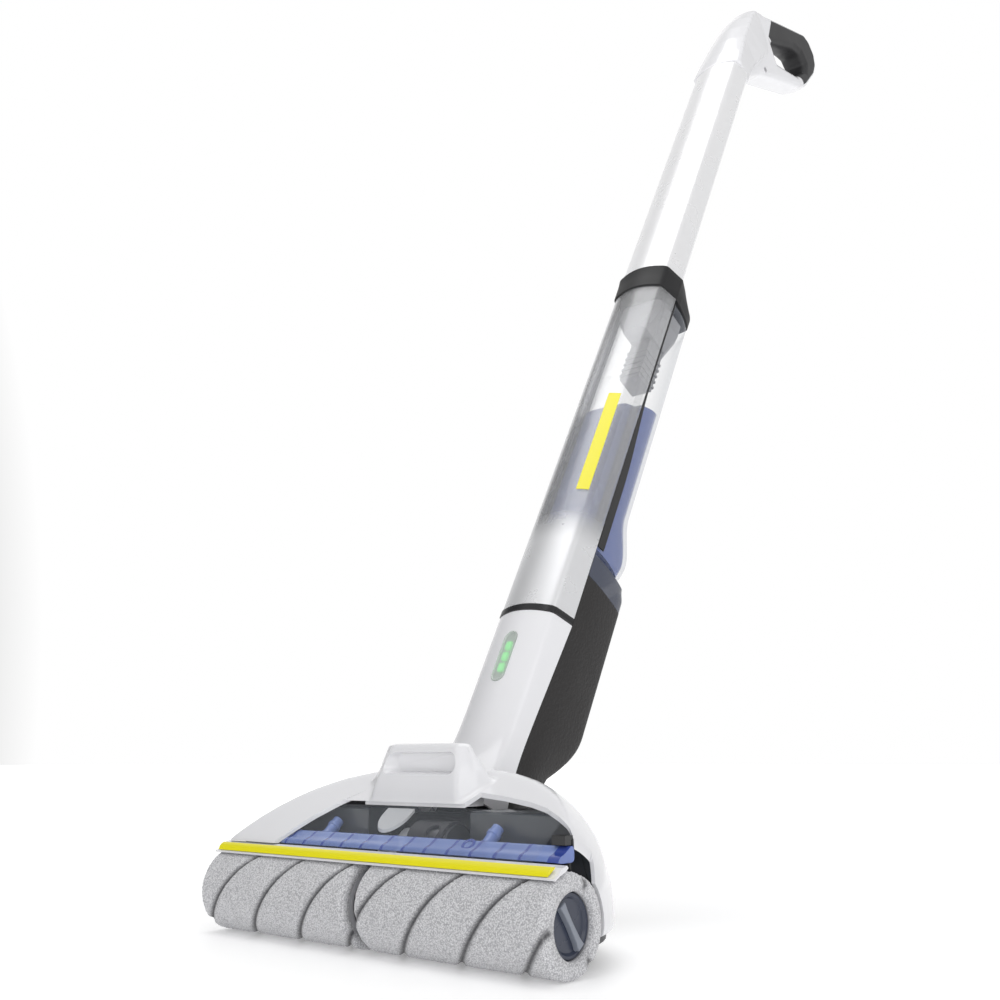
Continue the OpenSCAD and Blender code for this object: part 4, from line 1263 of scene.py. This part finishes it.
# ---- carried-over nodes ---------------------------------------------------------
CARRIED = {
    "chassis": ("dark_plastic", 0.6), "glide_pads": ("pad_rubber", 0.5), "tilt_bushes": ("bush_brass", 0.2),
    "drive_arm_left": ("light_grey_plastic", 0.3), "drive_arm_right": ("light_grey_plastic", 0.3),
    "shaft_bearings": ("bright_steel", 0.2), "drive_belt": ("black_rubber", 0),
    "drive_motor": ("motor_steel", 0.4),
    "motor_cover": ("dark_plastic", 0.5), "head_hose": ("clear_hose", 0),
    "water_nozzle": ("light_grey_plastic", 0.3),
    "chassis_screws": ("bright_steel", 0.2), "drive_shaft": ("bright_steel", 0.2),
    "drive_pulley": ("dark_plastic", 0.2),
    "motor_pulley": ("dark_plastic", 0.1), "roller_core_left": ("roller_plastic", 0.3),
    "roller_core_right": ("roller_plastic", 0.3), "accent_strip": ("yellow_gloss", 0.2),
    "strip_carrier": ("white_gloss", 0.15), "cover_window": ("clear_window", 0.2),
    "scraper_blade": ("black_rubber", 0.1),
    "cover_latch": ("black_gloss", 0.7), "centre_fairing": ("light_grey_plastic", 0.4),
    "neck_hub": ("black_plastic", 1.0),
    "tilt_pin": ("bright_steel", 0.5), "circuit_board": ("board_green", 0.1),
    "battery_cells": ("cell_wrap", 0.6),
    "battery_holder": ("dark_plastic", 0.4), "charging_socket": ("black_plastic", 0.3),
    "water_hose": ("clear_hose", 0),
    "tank_receiver": ("smoky_blue", 0.3), "body_stripe": ("yellow_gloss", 0.1),
    "body_carrier": ("ghost_rail", 0),
    "tank_insert": ("insert_grey", 0.5), "tank_cap": ("insert_grey", 0.5),
    "tank_latch": ("black_plastic", 0.8),
    "power_switch": ("black_gloss", 0.8), "handle_screw": ("bright_steel", 0.3),
}


class SCRUBBER_OT_carried(bpy.types.Operator):
    """Gives the CAD nodes that stay in view their finishes and rounded edges"""

    bl_idname = "scrubber.carried"
    bl_label = "Carried-over nodes"

    def execute(self, context):
        """Assigns the finishes."""
        for name, (kind, edge) in CARRIED.items():
            node = frame["nodes"][name]
            node.data.materials.clear()
            node.data.materials.append(finish(kind))
            if edge:
                round_edges(node, edge, 2, 35)
        return {"FINISHED"}


# ---- stage ----------------------------------------------------------------------
BEHIND = (0.70, 0.82)
LEFT_WAY = (-0.906, -0.42, 0.0)
LEFT_FADE = (0.62, 0.80)
LEFT_DIM = 0.06
GLOW_REACH = (0.15, 2.2)
GLOW_POWER = (0.22, 0.62)
FLOOR_HALF = 40
SENSOR_WIDTH = 36.0


def ahead(sizes):
    """The way the camera looks."""
    turn, rise = sizes.camera_turn, sizes.camera_rise
    level = math.cos(rise)
    return Vector((-math.sin(turn) * level, math.cos(turn) * level, math.sin(rise)))


class SCRUBBER_OT_stage(bpy.types.Operator):
    """Sets up the floor, the soft lights and the camera"""

    bl_idname = "scrubber.stage"
    bl_label = "Stage"

    def execute(self, context):
        """Builds the stage round the scrubber."""
        scene = context.scene
        sizes = scene.scrubber_sizes
        world = bpy.data.worlds.new("soft_room")
        world.use_nodes = True
        self.room(world, sizes)
        scene.world = world
        scene.view_settings.view_transform = "Standard"
        self.floor()
        self.lamp("key_panel", (1.7, -1.1, 1.2), (0.0, 0.1, 0.35), 1.3, sizes.key_power)
        self.lamp("top_panel", (-0.2, -0.3, 2.6), (0.0, 0.1, 0.0), 1.6, sizes.top_power)
        self.lamp("low_panel", (0.9, -1.5, 0.35), (0.0, 0.0, 0.1), 0.8, sizes.low_power)
        self.camera(scene, sizes)
        return {"FINISHED"}

    def room(self, world, sizes):
        """A white room, bright behind the scrubber and dimmer in front of it."""
        nodes, links = world.node_tree.nodes, world.node_tree.links
        where = nodes.new("ShaderNodeTexCoord")
        along = nodes.new("ShaderNodeVectorMath")
        along.operation = "DOT_PRODUCT"
        along.inputs[1].default_value = ahead(sizes)
        ramp = nodes.new("ShaderNodeValToRGB")
        dim = sizes.room_light
        ramp.color_ramp.elements[0].position = BEHIND[0]
        ramp.color_ramp.elements[0].color = (dim, dim, dim, 1)
        ramp.color_ramp.elements[1].position = BEHIND[1]
        ramp.color_ramp.elements[1].color = (1, 1, 1, 1)
        left = nodes.new("ShaderNodeVectorMath")
        left.operation = "DOT_PRODUCT"
        left.inputs[1].default_value = LEFT_WAY
        shade = nodes.new("ShaderNodeMapRange")
        shade.inputs["From Min"].default_value = LEFT_FADE[0]
        shade.inputs["From Max"].default_value = LEFT_FADE[1]
        shade.inputs["To Min"].default_value = 1.0
        shade.inputs["To Max"].default_value = LEFT_DIM
        both = nodes.new("ShaderNodeVectorMath")
        both.operation = "SCALE"
        links.new(where.outputs["Generated"], along.inputs[0])
        links.new(where.outputs["Generated"], left.inputs[0])
        links.new(along.outputs["Value"], ramp.inputs["Fac"])
        links.new(left.outputs["Value"], shade.inputs["Value"])
        links.new(ramp.outputs["Color"], both.inputs[0])
        links.new(shade.outputs["Result"], both.inputs["Scale"])
        links.new(both.outputs["Vector"], nodes["Background"].inputs["Color"])

    def floor(self):
        """A wide pale floor."""
        rings = []
        for y in (-FLOOR_HALF, 0, FLOOR_HALF):
            rings.append([Vector((x, y, 0)) for x in spread(-FLOOR_HALF, FLOOR_HALF, 2)])
        material = moulded("stage_floor", (0.93, 0.93, 0.935), (0.925, 0.925, 0.93), (0.5, 0.55), 30.0)
        self.glow(material)
        verts, faces = loft(rings, False)
        floor = new_piece("stage_floor", verts, faces, material, None)

    def glow(self, material):
        """Paints light into the floor: a glow like a lit sweep, growing with distance and weaker under the
        scrubber.
        """
        nodes, links = material.node_tree.nodes, material.node_tree.links
        where = nodes.new("ShaderNodeTexCoord")
        reach = nodes.new("ShaderNodeVectorMath")
        reach.operation = "LENGTH"
        ramp = nodes.new("ShaderNodeMapRange")
        ramp.inputs["From Min"].default_value = GLOW_REACH[0]
        ramp.inputs["From Max"].default_value = GLOW_REACH[1]
        ramp.inputs["To Min"].default_value = GLOW_POWER[0]
        ramp.inputs["To Max"].default_value = GLOW_POWER[1]
        # painted light: the floor's emission colour grows with distance from the scrubber
        surface = nodes["Principled BSDF"]
        surface.inputs["Emission Strength"].default_value = 1.0
        links.new(where.outputs["Object"], reach.inputs[0])
        links.new(reach.outputs["Value"], ramp.inputs["Value"])
        links.new(ramp.outputs["Result"], surface.inputs["Emission Color"])

    def lamp(self, name, place, aim, size, power):
        """A square soft light at place, turned towards aim."""
        data = bpy.data.lights.new(name, "AREA")
        data.size = size
        data.energy = power
        lamp = bpy.data.objects.new(name, data)
        lamp.location = place
        lamp.rotation_euler = (Vector(aim) - Vector(place)).to_track_quat("-Z", "Y").to_euler()
        bpy.context.scene.collection.objects.link(lamp)

    def camera(self, scene, sizes):
        """The camera, low in front and to the right, looking slightly up."""
        data = bpy.data.cameras.new("camera")
        data.lens = sizes.lens
        data.sensor_width = SENSOR_WIDTH
        data.clip_start = 0.02
        data.clip_end = 60.0
        camera = bpy.data.objects.new("camera", data)
        camera.location = Vector(sizes.camera_place)
        camera.rotation_euler = ahead(sizes).to_track_quat("-Z", "Y").to_euler()
        scene.collection.objects.link(camera)
        scene.camera = camera


# ---- sizes and panel ------------------------------------------------------------
class ScrubberSizes(bpy.types.PropertyGroup):
    """Sizes and colours of the scrubber's looks, in millimetres unless named otherwise."""

    front_width: FloatProperty(
        name="Front width", description="Width of the stick's face between its creases", default=51.0
    )
    stick_width: FloatProperty(name="Stick width", description="Full width of the stick", default=61.0)
    shell_depth: FloatProperty(name="Shell depth", description="Depth of the front shell", default=18.0)
    front_bow: FloatProperty(name="Front bow", description="How far the face bows forward", default=7.0)
    crease_radius: FloatProperty(name="Crease radius", description="Rounding of the creases", default=3.2)
    cover_wall: FloatProperty(name="Cover wall", description="Wall of the cover", default=2.3)
    cover_softness: IntProperty(
        name="Cover softness", description="Smoothing passes on the cover's edges", default=16
    )
    hood_softness: IntProperty(
        name="Hood softness", description="Smoothing passes where the hood meets the cover", default=14
    )
    groove_pitch: FloatProperty(
        name="Groove pitch", description="Distance between spiral grooves", default=45.0
    )
    groove_width: FloatProperty(name="Groove width", description="Half width of a groove", default=1.7)
    rib_step: FloatProperty(
        name="Rib step", description="Distance between the ribs of the scraper bar", default=18.0
    )
    water_level: FloatProperty(
        name="Water level", description="Height of the water above the floor", default=403.0
    )
    handle_width: FloatProperty(name="Handle width", description="Width of the handle loop", default=30.0)
    white: FloatVectorProperty(
        name="White", description="Colour of the white plastic", default=(0.80, 0.80, 0.82), min=0.0,
        max=1.0, subtype="COLOR"
    )
    white_shade: FloatVectorProperty(
        name="White shade", description="Second tone that clouds the white plastic",
        default=(0.76, 0.76, 0.785), min=0.0, max=1.0, subtype="COLOR"
    )
    silver: FloatVectorProperty(
        name="Silver", description="Colour of the upper tube", default=(0.84, 0.84, 0.85), min=0.0, max=1.0,
        subtype="COLOR"
    )
    silver_shade: FloatVectorProperty(
        name="Silver shade", description="Second tone that clouds the upper tube",
        default=(0.79, 0.79, 0.80), min=0.0, max=1.0, subtype="COLOR"
    )
    yellow: FloatVectorProperty(
        name="Yellow", description="Colour of the strip and the stripe", default=(0.86, 0.79, 0.02),
        min=0.0, max=1.0, subtype="COLOR"
    )
    yellow_shade: FloatVectorProperty(
        name="Yellow shade", description="Second tone that clouds the yellow", default=(0.80, 0.73, 0.02),
        min=0.0, max=1.0, subtype="COLOR"
    )
    room_light: FloatProperty(
        name="Room light", description="Strength of the light from all round", default=0.62
    )
    key_power: FloatProperty(
        name="Key light", description="Power of the main light", default=7.5, unit="POWER"
    )
    top_power: FloatProperty(
        name="Top light", description="Power of the overhead light", default=17.0, unit="POWER"
    )
    low_power: FloatProperty(
        name="Low light", description="Power of the low front light", default=3.0, unit="POWER"
    )
    lens: FloatProperty(name="Lens", description="Focal length of the camera", default=38.64, unit="CAMERA")
    camera_turn: FloatProperty(
        name="Camera turn", description="Turn to the right of straight ahead", default=math.radians(40.41),
        subtype="ANGLE"
    )
    camera_rise: FloatProperty(
        name="Camera rise", description="Upward tilt of the camera", default=math.radians(13.73),
        subtype="ANGLE"
    )
    camera_place: FloatVectorProperty(
        name="Camera place", description="Position of the camera", default=(0.49714, -0.5375, 0.1091),
        subtype="TRANSLATION"
    )


class SCRUBBER_PT_panel(bpy.types.Panel):
    """Lists the pieces in the order they are built"""

    bl_idname = "SCRUBBER_PT_panel"
    bl_label = "Scrubber"
    bl_space_type = "VIEW_3D"
    bl_region_type = "UI"
    bl_category = "Scrubber"

    def draw(self, context):
        """One button per operator, then the sizes."""
        for operator in OPERATORS:
            self.layout.operator(operator.bl_idname)
        for name in ScrubberSizes.__annotations__:
            self.layout.prop(context.scene.scrubber_sizes, name)


OPERATORS = (
    SCRUBBER_OT_stage, SCRUBBER_OT_carried, SCRUBBER_OT_cover, SCRUBBER_OT_rollers, SCRUBBER_OT_scraper,
    SCRUBBER_OT_neck, SCRUBBER_OT_body, SCRUBBER_OT_tank, SCRUBBER_OT_handle,
)
CLASSES = (ScrubberSizes, *OPERATORS, SCRUBBER_PT_panel)


def register():
    """Registers the classes and the scene's settings."""
    for cls in CLASSES:
        bpy.utils.register_class(cls)
    bpy.types.Scene.scrubber_sizes = PointerProperty(type=ScrubberSizes)


def unregister():
    """Removes them again."""
    del bpy.types.Scene.scrubber_sizes
    for cls in reversed(CLASSES):
        bpy.utils.unregister_class(cls)


def main():
    """Builds everything."""
    register()
    bpy.ops.scrubber.stage()
    bpy.ops.scrubber.carried()
    bpy.ops.scrubber.cover()
    bpy.ops.scrubber.rollers()
    bpy.ops.scrubber.scraper()
    bpy.ops.scrubber.neck()
    bpy.ops.scrubber.body()
    bpy.ops.scrubber.tank()
    bpy.ops.scrubber.handle()


if __name__ == "__main__":
    main()
